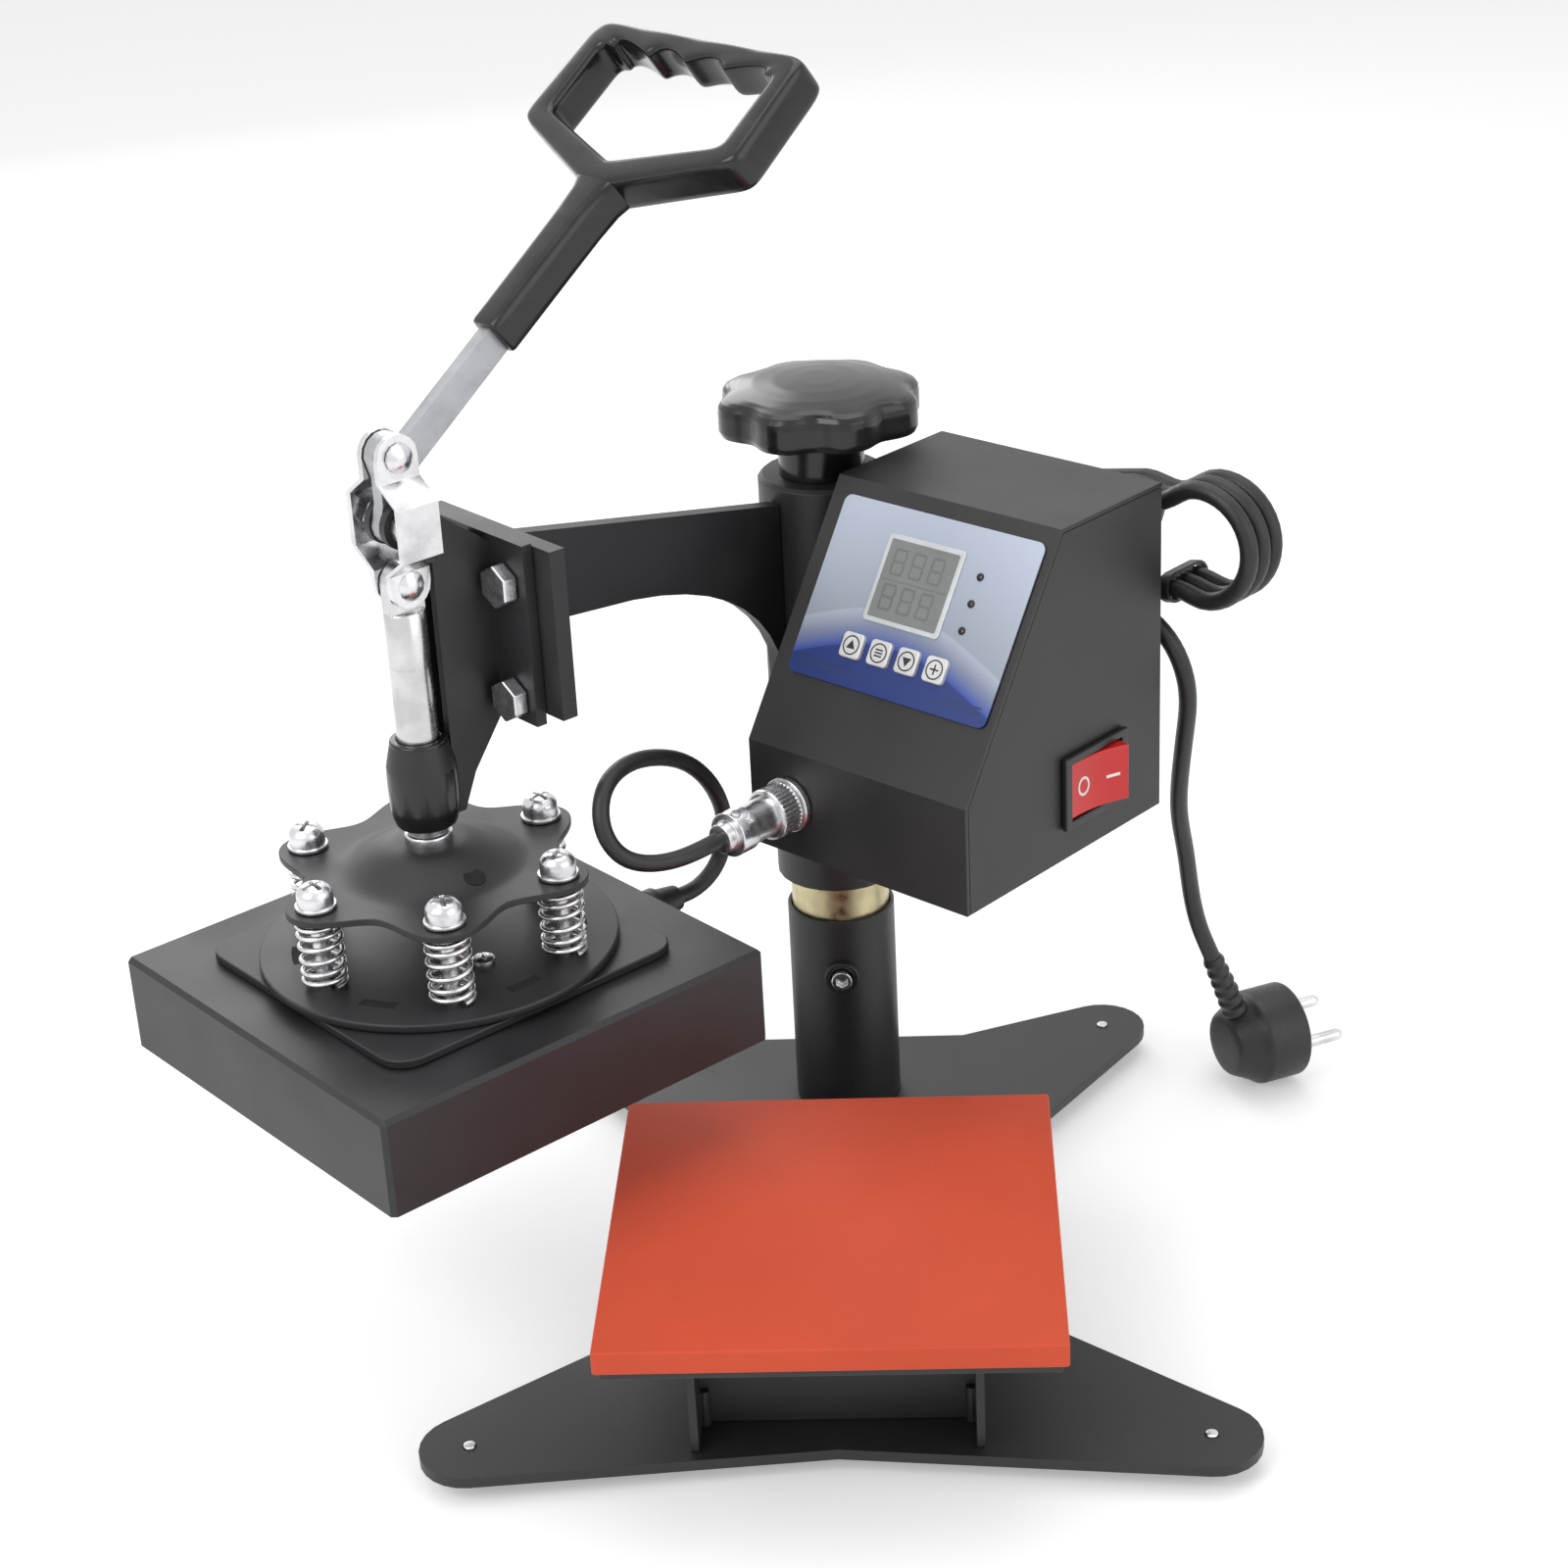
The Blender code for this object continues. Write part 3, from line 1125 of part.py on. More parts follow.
def make_springs(plunger):
    low = DISC_TOP + GAP
    high = SPIDER_Z - GAP
    points = spring_points(low, high)
    print("spring gap to itself, mm:", round(least_gap(points, SPRING_WIRE_RADIUS, SPRING_POINTS / 2) / MM, 2))
    for number, (x, y) in enumerate(screw_places(), 1):
        wire(f"pressure_spring_{number}", plunger, points + (x, y, 0), SPRING_WIRE_RADIUS, "zinc_steel", 1)


# Heating head


def make_head(head):
    disc = turned("mounting_disc", head, [(0, DISC_TOP), (DISC_RADIUS, DISC_TOP), (DISC_RADIUS, DISC_BOTTOM), (0, DISC_BOTTOM)],
                  "black_powder_coat", steps=40)
    seat = SPIDER_Z + SPIDER_THICK + GAP
    for x, y in screw_places():
        place = moved(x, y)
        fuse(disc, peg("screw_shank", head, SCREW_RADIUS, DISC_TOP - DISC_THICK / 2, seat + SCREW_WASHER + SCREW_HEAD / 2,
                       place=place, steps=12),
             peg("screw_washer", head, SCREW_WASHER_RADIUS, seat, seat + SCREW_WASHER, place=place),
             peg("screw_head", head, SCREW_HEAD_RADIUS, seat + SCREW_WASHER / 2, seat + SCREW_WASHER + SCREW_HEAD, place=place))
    fuse(disc, peg("disc_screw", head, DISC_SCREW_RADIUS, DISC_TOP - DISC_THICK / 2, DISC_TOP + DISC_SCREW_HEAD,
                   place=moved(DISC_SCREW_X), steps=12))
    slab("mounting_plate", head, [rounded(rectangle(MOUNT_SIDE, MOUNT_SIDE), MOUNT_CORNER)], MOUNT_THICK,
         "black_powder_coat", moved(0, 0, MOUNT_BOTTOM + MOUNT_THICK / 2))
    make_cover(head)
    side = INSULATION_SIDE
    top = HEAD_TOP - HEAD_SHEET - GAP
    block("insulation_blanket", head, (side, side, top - PLATEN_TOP - GAP), (-side / 2, -side / 2, PLATEN_TOP + GAP), "ceramic_wool")
    platen = block("heating_platen", head, (PLATEN_SIDE, PLATEN_SIDE, PLATEN_THICK),
                   (-PLATEN_SIDE / 2, -PLATEN_SIDE / 2, PLATEN_BOTTOM), "aluminium")
    bevel(platen, PLATEN_EDGE, 1)


def make_cover(head):
    """A sheet cover, open below."""
    half = HEAD_SIDE / 2
    bm = bmesh.new()
    place = moved(0, 0, HEAD_TOP - HEAD_HEIGHT / 2) @ Matrix.Diagonal((HEAD_SIDE, HEAD_SIDE, HEAD_HEIGHT, 1))
    bmesh.ops.create_cube(bm, size=1, matrix=place)
    bottom = [face for face in bm.faces if face.normal.z < -0.5]
    bmesh.ops.delete(bm, geom=bottom, context="FACES_ONLY")
    mesh = bpy.data.meshes.new("head_cover")
    bm.to_mesh(mesh)
    bm.free()
    cover = hang(bpy.data.objects.new("head_cover", mesh), head, Matrix(), "black_powder_coat")
    bevel(cover, HEAD_EDGE, 1)
    wall = cover.modifiers.new("wall", "SOLIDIFY")
    wall.thickness = HEAD_SHEET
    wall.use_even_offset = True
    place = moved(HEAD_GLAND_X, half, HEAD_GLAND_Z) @ ALONG_Y
    cut(cover, peg("gland_hole", head, HEAD_GLAND_RADIUS + GAP, -HEAD_SHEET - OVERRUN, OVERRUN, place=place))
    turned("head_gland", head, [
        (0, HEAD_GLAND_REACH),
        (HEAD_GLAND_NOSE, HEAD_GLAND_REACH),
        (HEAD_GLAND_RADIUS, GAP + HEAD_GLAND_COLLAR),
        (HEAD_GLAND_COLLAR_RADIUS, GAP + HEAD_GLAND_COLLAR),
        (HEAD_GLAND_COLLAR_RADIUS, GAP),
        (HEAD_GLAND_RADIUS, GAP),
        (HEAD_GLAND_RADIUS, -HEAD_GLAND_INSIDE),
        (0, -HEAD_GLAND_INSIDE),
    ], "black_rubber", place, SMALL_STEPS)


# Control box, drawn from its front lower left corner


def box_outline():
    """The box's side, counter-clockwise from the front lower corner, in the plane of Y and Z."""
    return [(0, 0), (BOX_DEPTH, 0), (BOX_DEPTH, BOX_HEIGHT), (BOX_DEPTH - BOX_TOP_DEPTH, BOX_HEIGHT), (0, BOX_LIP)]


def make_wrap(box, slope):
    """One folded sheet: front lip, sloping face and top."""
    profile = [(0, 0), (0, BOX_LIP), (BOX_DEPTH - BOX_TOP_DEPTH, BOX_HEIGHT), (BOX_DEPTH, BOX_HEIGHT)]
    bm = bmesh.new()
    left = [bm.verts.new((0, y, z)) for y, z in profile]
    right = [bm.verts.new((BOX_WIDTH, y, z)) for y, z in profile]
    for i in range(len(profile) - 1):
        bm.faces.new((left[i], right[i], right[i + 1], left[i + 1]))
    mesh = bpy.data.meshes.new("control_box_wrap")
    bm.to_mesh(mesh)
    bm.free()
    wrap = hang(bpy.data.objects.new("control_box_wrap", mesh), box, Matrix(), "black_powder_coat")
    wall = wrap.modifiers.new("wall", "SOLIDIFY")
    wall.thickness = BOX_SHEET
    wall.use_even_offset = True
    socket = peg("socket_hole", box, SOCKET_BARREL_RADIUS + GAP, -BOX_SHEET - OVERRUN, OVERRUN,
                 place=moved(SOCKET_X, 0, SOCKET_Z) @ AGAINST_Y)
    cut(wrap, socket, *face_cutters(slope, -BOX_SHEET - OVERRUN, OVERRUN))


def face_cutters(slope, low, high):
    """Cutters through the sloping face for the display, the buttons and the lamps."""
    cutters = [block("window_cut", slope, (WINDOW_WIDTH, WINDOW_HEIGHT, high - low), (WINDOW_LEFT, WINDOW_LOW, low))]
    hole = BUTTON_SIDE + 2 * GAP
    for i in range(BUTTON_COUNT):
        cutters.append(block("button_cut", slope, (hole, hole, high - low),
                             (BUTTON_U + i * BUTTON_PITCH - hole / 2, BUTTON_V - hole / 2, low)))
    for i in range(LAMP_COUNT):
        cutters.append(peg("lamp_cut", slope, LAMP_RADIUS + GAP, low, high,
                           place=moved(LAMP_U, LAMP_LOW + i * LAMP_PITCH), steps=12))
    return cutters


def make_chassis(box):
    """Bottom, sides and rear in one folded tray, closed by the wrap."""
    under = BOX_SHEET + GAP
    outer = inset(box_outline(), (0, 0, under, under, under))
    hollow = inset(box_outline(), (BOX_SHEET, BOX_SHEET, -OVERRUN, -OVERRUN, -OVERRUN))
    middle = moved(BOX_WIDTH / 2)
    chassis = slab("control_box_chassis", box, [outer], BOX_WIDTH, "black_powder_coat", middle @ SIDE_PLAN)
    space = slab("box_space", box, [hollow], BOX_WIDTH - 2 * BOX_SHEET, place=middle @ SIDE_PLAN)
    gland = peg("gland_hole", box, GLAND_RADIUS + GAP, -BOX_SHEET - OVERRUN, OVERRUN,
                place=moved(GLAND_X, BOX_DEPTH, GLAND_Z) @ ALONG_Y)
    width = SWITCH_CUT_WIDTH + 2 * (SWITCH_WALL + GAP)
    height = SWITCH_CUT_HEIGHT + 2 * (SWITCH_WALL + GAP)
    switch = block("switch_hole", box, (BOX_SHEET + 2 * OVERRUN, width, height),
                   (BOX_WIDTH - BOX_SHEET - OVERRUN, SWITCH_Y - width / 2, SWITCH_Z - height / 2))
    cut(chassis, space, gland, switch)


def make_panel(slope):
    outline = rounded(rectangle(PANEL_WIDTH, PANEL_HEIGHT, PANEL_LEFT, PANEL_LOW), PANEL_CORNER, 3)
    panel = slab("control_panel", slope, [outline], PANEL_THICK, "panel_film", moved(0, 0, GAP + PANEL_THICK / 2))
    cut(panel, *face_cutters(slope, -OVERRUN, PANEL_THICK + OVERRUN))
    face = GAP + PANEL_THICK
    for i in range(BUTTON_COUNT):
        u = BUTTON_U + i * BUTTON_PITCH
        outline = rounded(rectangle(BUTTON_SIDE, BUTTON_SIDE), BUTTON_CORNER, 2)
        low = -BOX_SHEET - BUTTON_SKIRT
        high = face + BUTTON_PROUD
        button = slab(f"button_{i + 1}", slope, [outline], high - low, "button_silver", moved(u, BUTTON_V, (low + high) / 2))
        fuse(button, peg("button_stem", slope, BUTTON_STEM_RADIUS, -BOARD_DEPTH + GAP + BUTTON_TRAVEL, low + BUTTON_SKIRT,
                         place=moved(u, BUTTON_V), steps=12))
    make_controller(slope, face)


def make_controller(slope, face):
    """The board behind the face, with its display, lamps and transformer."""
    left = PANEL_LEFT + (PANEL_WIDTH - BOARD_WIDTH) / 2
    low = PANEL_LOW + (PANEL_HEIGHT - BOARD_HEIGHT) / 2
    board = block("controller_module", slope, (BOARD_WIDTH, BOARD_HEIGHT, BOARD_THICK), (left, low, -BOARD_DEPTH - BOARD_THICK),
                  "board_green")
    inside = -BOARD_DEPTH - BOARD_THICK / 2
    display = block("display", slope, (WINDOW_WIDTH - 2 * GAP, WINDOW_HEIGHT - 2 * GAP, face - GAP - inside),
                    (WINDOW_LEFT + GAP, WINDOW_LOW + GAP, inside))
    lamps = [peg("lamp", slope, LAMP_RADIUS, inside, face - GAP, place=moved(LAMP_U, LAMP_LOW + i * LAMP_PITCH), steps=12)
             for i in range(LAMP_COUNT)]
    middle = left + BOARD_WIDTH / 2 - TRANSFORMER_SIDE / 2
    transformer = block("transformer", slope, (TRANSFORMER_SIDE, TRANSFORMER_SIDE, TRANSFORMER_DEPTH + BOARD_THICK / 2),
                        (middle, low + BOARD_HEIGHT - TRANSFORMER_SIDE, inside - TRANSFORMER_DEPTH - BOARD_THICK / 2))
    fuse(board, display, *lamps, transformer)


def make_switch(box, rocker):
    """The mains switch: a frame with its housing, and the rocker on its own axis."""
    width = SWITCH_CUT_WIDTH + 2 * SWITCH_WALL
    height = SWITCH_CUT_HEIGHT + 2 * SWITCH_WALL
    face = BOX_WIDTH + GAP
    frame = block("rocker_frame", box, (SWITCH_RIM, SWITCH_WIDTH, SWITCH_HEIGHT),
                  (face, SWITCH_Y - SWITCH_WIDTH / 2, SWITCH_Z - SWITCH_HEIGHT / 2), "black_plastic")
    housing = block("switch_housing", box, (SWITCH_DEEP + SWITCH_RIM / 2, width, height),
                    (face - SWITCH_DEEP, SWITCH_Y - width / 2, SWITCH_Z - height / 2))
    cavity = block("switch_cavity", box, (SWITCH_DEEP + SWITCH_RIM, SWITCH_CUT_WIDTH, SWITCH_CUT_HEIGHT),
                   (face - SWITCH_DEEP + SWITCH_WALL, SWITCH_Y - SWITCH_CUT_WIDTH / 2, SWITCH_Z - SWITCH_CUT_HEIGHT / 2))
    fuse(frame, housing)
    cut(frame, cavity)
    outline = [(ROCKER_PROUD, -ROCKER_HALF), (ROCKER_SADDLE, 0), (ROCKER_PROUD, ROCKER_HALF), (0, ROCKER_HALF),
               (-ROCKER_KEEL, ROCKER_KEEL_HALF), (-ROCKER_KEEL, -ROCKER_KEEL_HALF), (0, -ROCKER_HALF)]
    slab("rocker_switch", rocker, [outline], SWITCH_CUT_HEIGHT - 2 * GAP, "switch_red")


def make_socket(box):
    """The panel socket for the heater cable and the screw-ring plug on it."""
    place = moved(SOCKET_X, 0, SOCKET_Z) @ AGAINST_Y
    socket = turned("connector_socket", box, [
        (0, GAP + SOCKET_FLANGE + SOCKET_BARREL),
        (SOCKET_BARREL_RADIUS, GAP + SOCKET_FLANGE + SOCKET_BARREL),
        (SOCKET_BARREL_RADIUS, GAP + SOCKET_FLANGE),
        (SOCKET_FLANGE_RADIUS, GAP + SOCKET_FLANGE),
        (SOCKET_FLANGE_RADIUS, GAP),
        (SOCKET_BARREL_RADIUS, GAP),
        (SOCKET_BARREL_RADIUS, -BOX_SHEET - GAP - SOCKET_INSIDE),
        (0, -BOX_SHEET - GAP - SOCKET_INSIDE),
    ], "zinc_steel", place, 24)
    fuse(socket, peg("socket_nut", box, SOCKET_NUT_RADIUS, -BOX_SHEET - GAP - SOCKET_INSIDE / 2, -BOX_SHEET - GAP,
                     place=place, steps=6))
    low = GAP + SOCKET_FLANGE + GAP
    ring = low + PLUG_RING
    body = ring + PLUG_BODY
    clamp = body + PLUG_CLAMP
    bore = SOCKET_BARREL_RADIUS + GAP
    depth = GAP + SOCKET_FLANGE + SOCKET_BARREL + GAP
    turned("connector_plug", box, [
        (0, clamp + PLUG_TAIL),
        (PLUG_TAIL_RADIUS, clamp + PLUG_TAIL),
        (PLUG_TAIL_RADIUS, clamp),
        (PLUG_CLAMP_RADIUS, clamp),
        (PLUG_CLAMP_RADIUS, body),
        (PLUG_BODY_RADIUS, body),
        (PLUG_BODY_RADIUS, ring),
        (PLUG_RING_RADIUS, ring),
        (PLUG_RING_RADIUS, low),
        (bore, low),
        (bore, depth),
        (0, depth),
    ], "zinc_steel", place, 24)
    return box.matrix_world @ place @ moved(0, 0, clamp + PLUG_TAIL)


# Leads


def make_gland(box):
    """The mains gland in the box's rear: nut outside, collar inside, tapered sleeve."""
    place = moved(GLAND_X, BOX_DEPTH, GLAND_Z) @ ALONG_Y
    inside = -BOX_SHEET - GAP
    turned("mains_gland", box, [
        (0, GLAND_REACH),
        (GLAND_TIP_RADIUS, GLAND_REACH),
        (GLAND_RADIUS, GAP + GLAND_NUT),
        (GLAND_NUT_RADIUS, GAP + GLAND_NUT),
        (GLAND_NUT_RADIUS, GAP),
        (GLAND_RADIUS, GAP),
        (GLAND_RADIUS, inside),
        (GLAND_NUT_RADIUS, inside),
        (GLAND_NUT_RADIUS, inside - GLAND_INSIDE / 2),
        (GLAND_RADIUS, inside - GLAND_INSIDE),
        (0, inside - GLAND_INSIDE),
    ], "black_plastic", place, SMALL_STEPS)


def in_mm(points):
    return np.array(points, float) * MM


def hank_points():
    """Loops of two runs and two folds, one behind another, each climb along a run."""
    fold = HANK_HALF_WIDTH
    run = 2 * HANK_HALF_RUN
    bend = math.pi * fold
    loop = 2 * run + 2 * bend
    turns = np.linspace(0, bend, HANK_POINTS // 3 + 1)[:-1]
    near = HANK_WAIST - HANK_WAIST_REACH
    marks = np.concatenate([
        [0, near, HANK_WAIST],
        HANK_HALF_RUN + turns,
        HANK_HALF_RUN + bend + np.array([0, HANK_HALF_RUN - HANK_WAIST, HANK_HALF_RUN - near]),
        HANK_HALF_RUN + bend + run + turns,
        loop - HANK_HALF_RUN + np.array([0, HANK_HALF_RUN / 2]),
    ])
    turn = np.append(np.repeat(np.arange(HANK_TURNS), len(marks)), HANK_TURNS)
    mark = np.append(np.tile(marks, HANK_TURNS), 0)
    right = np.clip(mark - HANK_HALF_RUN, 0, bend) / fold
    left = np.clip(mark - HANK_HALF_RUN - bend - run, 0, bend) / fold
    out = np.clip(mark, 0, HANK_HALF_RUN)
    back = np.clip(mark - HANK_HALF_RUN - bend, 0, run)
    home = np.clip(mark - (loop - HANK_HALF_RUN), 0, HANK_HALF_RUN)
    along = out + home - back + fold * (np.sin(right) - np.sin(left))
    across = np.where(left > 0, fold * np.cos(left), -fold * np.cos(right))
    drawn = np.clip(1 - np.abs(along - HANK_WAIST) / HANK_WAIST_REACH, 0, 1)
    across = across * (1 - HANK_WAIST_DRAW / fold * drawn)
    share = back / run
    layer = turn + share * share * (3 - 2 * share)
    rear = BOX_FRONT + BOX_DEPTH + HANK_BEHIND + HANK_TURNS * HANK_PITCH
    x = HANK_X + along * math.cos(HANK_TILT) - across * math.sin(HANK_TILT)
    z = HANK_Z + along * math.sin(HANK_TILT) + across * math.cos(HANK_TILT)
    return np.column_stack([x, rear - HANK_PITCH * layer, z])


def make_tie(box_axis):
    """A flat tie round the lower runs at the waist, drawn in the plane square to them."""
    across = -(HANK_HALF_WIDTH - HANK_WAIST_DRAW)
    centre_x = HANK_X + HANK_WAIST * math.cos(HANK_TILT) - across * math.sin(HANK_TILT)
    centre_z = HANK_Z + HANK_WAIST * math.sin(HANK_TILT) + across * math.cos(HANK_TILT)
    centre_y = BOX_FRONT + BOX_DEPTH + HANK_BEHIND + HANK_TURNS * HANK_PITCH - (HANK_TURNS - 1) * HANK_PITCH / 2
    half = (HANK_TURNS - 1) * HANK_PITCH / 2
    inner = LEAD_RADIUS + TIE_CLEAR
    loops = []
    for radius in (inner + TIE_THICK, inner):
        loops.append(arc((half, 0), radius, -RIGHT_ANGLE, RIGHT_ANGLE, 8) + arc((-half, 0), radius, RIGHT_ANGLE, 3 * RIGHT_ANGLE, 8))
    across_run = Matrix.Rotation(-HANK_TILT, 4, "Y") @ SIDE_PLAN
    slab("cord_tie", box_axis, loops, TIE_WIDTH, "black_plastic", moved(centre_x, centre_y, centre_z) @ across_run)


def make_plug(rest):
    """An angled mains plug lying on the standing surface, its pins along its own X."""
    middle = PLUG_BARREL_RADIUS + PLUG_LIFT
    plug = axis_empty("plug_axis", rest, moved(PLUG_X, PLUG_Y, middle) @ Matrix.Rotation(PLUG_TURN, 4, "Z"))
    half = PLUG_BARREL / 2
    barrel = turned("mains_plug", plug, [
        (0, half),
        (PLUG_BARREL_RADIUS - PLUG_EDGE, half),
        (PLUG_BARREL_RADIUS, half - PLUG_EDGE),
        (PLUG_BARREL_RADIUS, -half + PLUG_EDGE),
        (PLUG_BACK_RADIUS, -half - PLUG_BACK),
        (0, -half - PLUG_BACK),
    ], "black_rubber", ALONG_X, 24)
    pins = []
    roll = Matrix.Rotation(PLUG_ROLL, 4, "X")
    for side in (-1, 1):
        pins.append(peg("plug_pin", plug, PIN_RADIUS, 0, half + PIN_LENGTH, place=roll @ moved(0, side * PIN_SPREAD) @ ALONG_X, steps=10))
    lean = moved(-half - PLUG_EDGE, 0, RELIEF_START) @ Matrix.Rotation(-RELIEF_LEAN, 4, "Y")
    relief = turned("plug_relief", plug, relief_profile(), place=lean, steps=SMALL_STEPS)
    fuse(barrel, *pins, relief)
    bpy.context.view_layer.update()
    return plug.matrix_world @ lean


def relief_profile():
    """A tapered sleeve with evenly spaced grooves, from its tip down into the plug."""
    profile = [(0, RELIEF_REACH), (RELIEF_NOSE, RELIEF_REACH)]
    pitch = RELIEF_REACH / (RELIEF_RIBS + 2)
    for rib in range(RELIEF_RIBS):
        top = RELIEF_REACH - pitch * (rib + 1)
        radius = RELIEF_NOSE + (RELIEF_RADIUS - RELIEF_NOSE) * (rib + 1) / (RELIEF_RIBS + 2)
        profile += [(radius, top), (radius - RELIEF_GROOVE, top - pitch / 4), (radius, top - pitch / 2)]
    return profile + [(RELIEF_RADIUS, 0), (0, 0)]


def make_lead(box_axis, relief):
    """The mains lead in box axes: gland to hank, the hank itself, and the drop to the plug."""
    tip = np.array([BOX_LEFT + GLAND_X, BOX_FRONT + BOX_DEPTH + GLAND_REACH + GAP, BOX_BOTTOM + GLAND_Z])
    hank = hank_points()
    run = np.array([math.cos(HANK_TILT), 0, math.sin(HANK_TILT)])
    lead_in = 4 * LEAD_RADIUS
    home = box_axis.matrix_world.inverted() @ relief
    nose = np.array(home @ Vector((0, 0, RELIEF_REACH + GAP)))
    above = np.array(home @ Vector((0, 0, RELIEF_REACH + GAP + lead_in)))
    entry = smooth_route([tip, tip + (0, lead_in, 0), *in_mm(ENTRY_ROUTE), hank[0] - run * lead_in, hank[0] - run * GAP], LEAD_SPACING)
    drop = smooth_route([hank[-1] + run * GAP, *in_mm(DROP_ROUTE), above, nose], LEAD_SPACING)
    for name, points, resolution in (("mains_lead_entry", entry, 2), ("mains_hank", hank, 1), ("mains_lead_drop", drop, 2)):
        wire(name, box_axis, points, LEAD_RADIUS, "black_rubber", resolution)
        print(name, "length and tightest bend, mm:", round(path_length(points) / MM), round(tightest_bend(points) / MM, 1))
    gap = least_gap(hank, LEAD_RADIUS, HANK_POINTS / 4)
    print("hank gap to itself, mm:", round(gap / MM, 2))
    if gap < LEAST_GAP:
        raise ValueError("the hank's loops touch")
    make_tie(box_axis)


def make_heater_cable(arm, tail):
    """The heater cable in arm axes, from the head's gland up and over to the panel plug."""
    start = np.array([HEAD_GLAND_X, -REACH + HEAD_SIDE / 2 + HEAD_GLAND_REACH + GAP, HEAD_GLAND_Z])
    home = arm.matrix_world.inverted()
    end = np.array(home @ tail @ Vector((0, 0, GAP)))
    straight = 2 * CABLE_RADIUS
    before = np.array(home @ tail @ Vector((0, 0, GAP + straight)))
    points = smooth_route([start, start + (0, straight, 0), *in_mm(CABLE_ROUTE), before, end], CABLE_SPACING)
    wire("heater_cable", arm, points, CABLE_RADIUS, "black_rubber")
    print("heater cable length and tightest bend, mm:", round(path_length(points) / MM), round(tightest_bend(points) / MM, 1))


def build():
    stand = axis_empty("column_axis", None, moved(COLUMN_X, COLUMN_Y))
    arm = axis_empty("arm_axis", stand, Matrix.Rotation(-SWING_ANGLE, 4, "Z"))
    box_axis = axis_empty("box_axis", arm, Matrix.Rotation(BOX_TOE_ANGLE, 4, "Z"))
    box = axis_empty("box_corner", box_axis, moved(BOX_LEFT, BOX_FRONT, BOX_BOTTOM))
    fall = math.atan2(BOX_HEIGHT - BOX_LIP, BOX_DEPTH - BOX_TOP_DEPTH)
    slope = axis_empty("slope_axis", box, moved(0, 0, BOX_LIP) @ Matrix.Rotation(fall, 4, "X"))
    rocker = axis_empty("rocker_axis", box, moved(BOX_WIDTH, SWITCH_Y, SWITCH_Z) @ Matrix.Rotation(-ROCKER_TILT, 4, "Z"))
    lever = axis_empty("lever_axis", arm, moved(0, -REACH, PIVOT_Z))
    link = axis_empty("link_axis", lever, moved(0, 0, CRANK))
    plunger = axis_empty("plunger_axis", arm, moved(0, -REACH))
    head = axis_empty("head_axis", plunger)
    rest = axis_empty("lead_rest", arm, Matrix.Rotation(SWING_ANGLE, 4, "Z"))
    bpy.context.view_layer.update()
    make_base(stand)
    make_table(stand)
    make_column(stand)
    make_hub(arm, box_axis)
    make_arm_plate(arm)
    make_clamp(arm)
    make_bolts(arm)
    make_knob(axis_empty("knob_axis", arm))
    make_lever(lever)
    make_link(link)
    make_rod(plunger)
    make_spider(plunger)
    make_springs(plunger)
    make_head(head)
    make_wrap(box, slope)
    make_chassis(box)
    make_panel(slope)
    make_switch(box, rocker)
    make_gland(box)
    make_heater_cable(arm, make_socket(box))
    make_lead(box_axis, make_plug(rest))
    for name, empty in (("lever", lever), ("link", link), ("plunger", plunger), ("rocker", rocker), ("slope", slope)):
        print(name, "axis at, m:", [round(v, 6) for v in empty.matrix_world.translation],
              "x", [round(v, 6) for v in empty.matrix_world.col[0][:3]], "z", [round(v, 6) for v in empty.matrix_world.col[2][:3]])


clear_scene()
PARTS = new_collection("Swing-away heat press")
GUIDES = new_collection("Cutters and guides")
build()
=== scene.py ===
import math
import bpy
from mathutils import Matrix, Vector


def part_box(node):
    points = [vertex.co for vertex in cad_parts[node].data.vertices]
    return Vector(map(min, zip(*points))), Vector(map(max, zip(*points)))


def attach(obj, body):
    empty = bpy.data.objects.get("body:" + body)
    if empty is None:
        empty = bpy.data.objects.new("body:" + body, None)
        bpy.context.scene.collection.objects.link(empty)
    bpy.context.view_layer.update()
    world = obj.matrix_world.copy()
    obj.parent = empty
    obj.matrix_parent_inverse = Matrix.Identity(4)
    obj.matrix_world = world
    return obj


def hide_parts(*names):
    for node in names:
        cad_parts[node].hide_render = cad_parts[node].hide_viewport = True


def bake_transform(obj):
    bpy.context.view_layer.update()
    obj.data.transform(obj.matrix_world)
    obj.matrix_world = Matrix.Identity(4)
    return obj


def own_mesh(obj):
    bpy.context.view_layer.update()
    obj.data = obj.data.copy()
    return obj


bl_info = {
    "name": "Swing-away Heat Press",
    "version": (1, 0, 0),
    "blender": (4, 5, 0),
    "location": "3D View > Sidebar > Press",
    "description": "Dresses a small bench-top heat press with its toggle lever, control box and leads",
    "category": "Object",
}

import bmesh
import bpy
import numpy as np
from bpy.props import FloatProperty, FloatVectorProperty, IntProperty, PointerProperty
from mathutils import Matrix

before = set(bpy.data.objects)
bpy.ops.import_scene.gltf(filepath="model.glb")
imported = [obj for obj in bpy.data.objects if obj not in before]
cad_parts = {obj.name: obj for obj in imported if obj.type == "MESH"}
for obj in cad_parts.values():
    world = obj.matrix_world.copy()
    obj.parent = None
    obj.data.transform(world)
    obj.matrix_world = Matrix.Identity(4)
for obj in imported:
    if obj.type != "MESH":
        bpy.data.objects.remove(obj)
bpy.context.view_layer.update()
MM = 0.001
TAU = 2 * math.pi

# Frames of the press, as 4x4 arrays in millimetres: the columns are the local axes and the origin


def turn(angle, axis="Z"):
    """A rotation by angle about X, Y or Z."""
    c, s = math.cos(angle), math.sin(angle)
    i, j = {"X": (1, 2), "Y": (2, 0), "Z": (0, 1)}[axis]
    out = np.eye(4)
    out[i, i], out[j, j], out[i, j], out[j, i] = c, c, -s, s
    return out


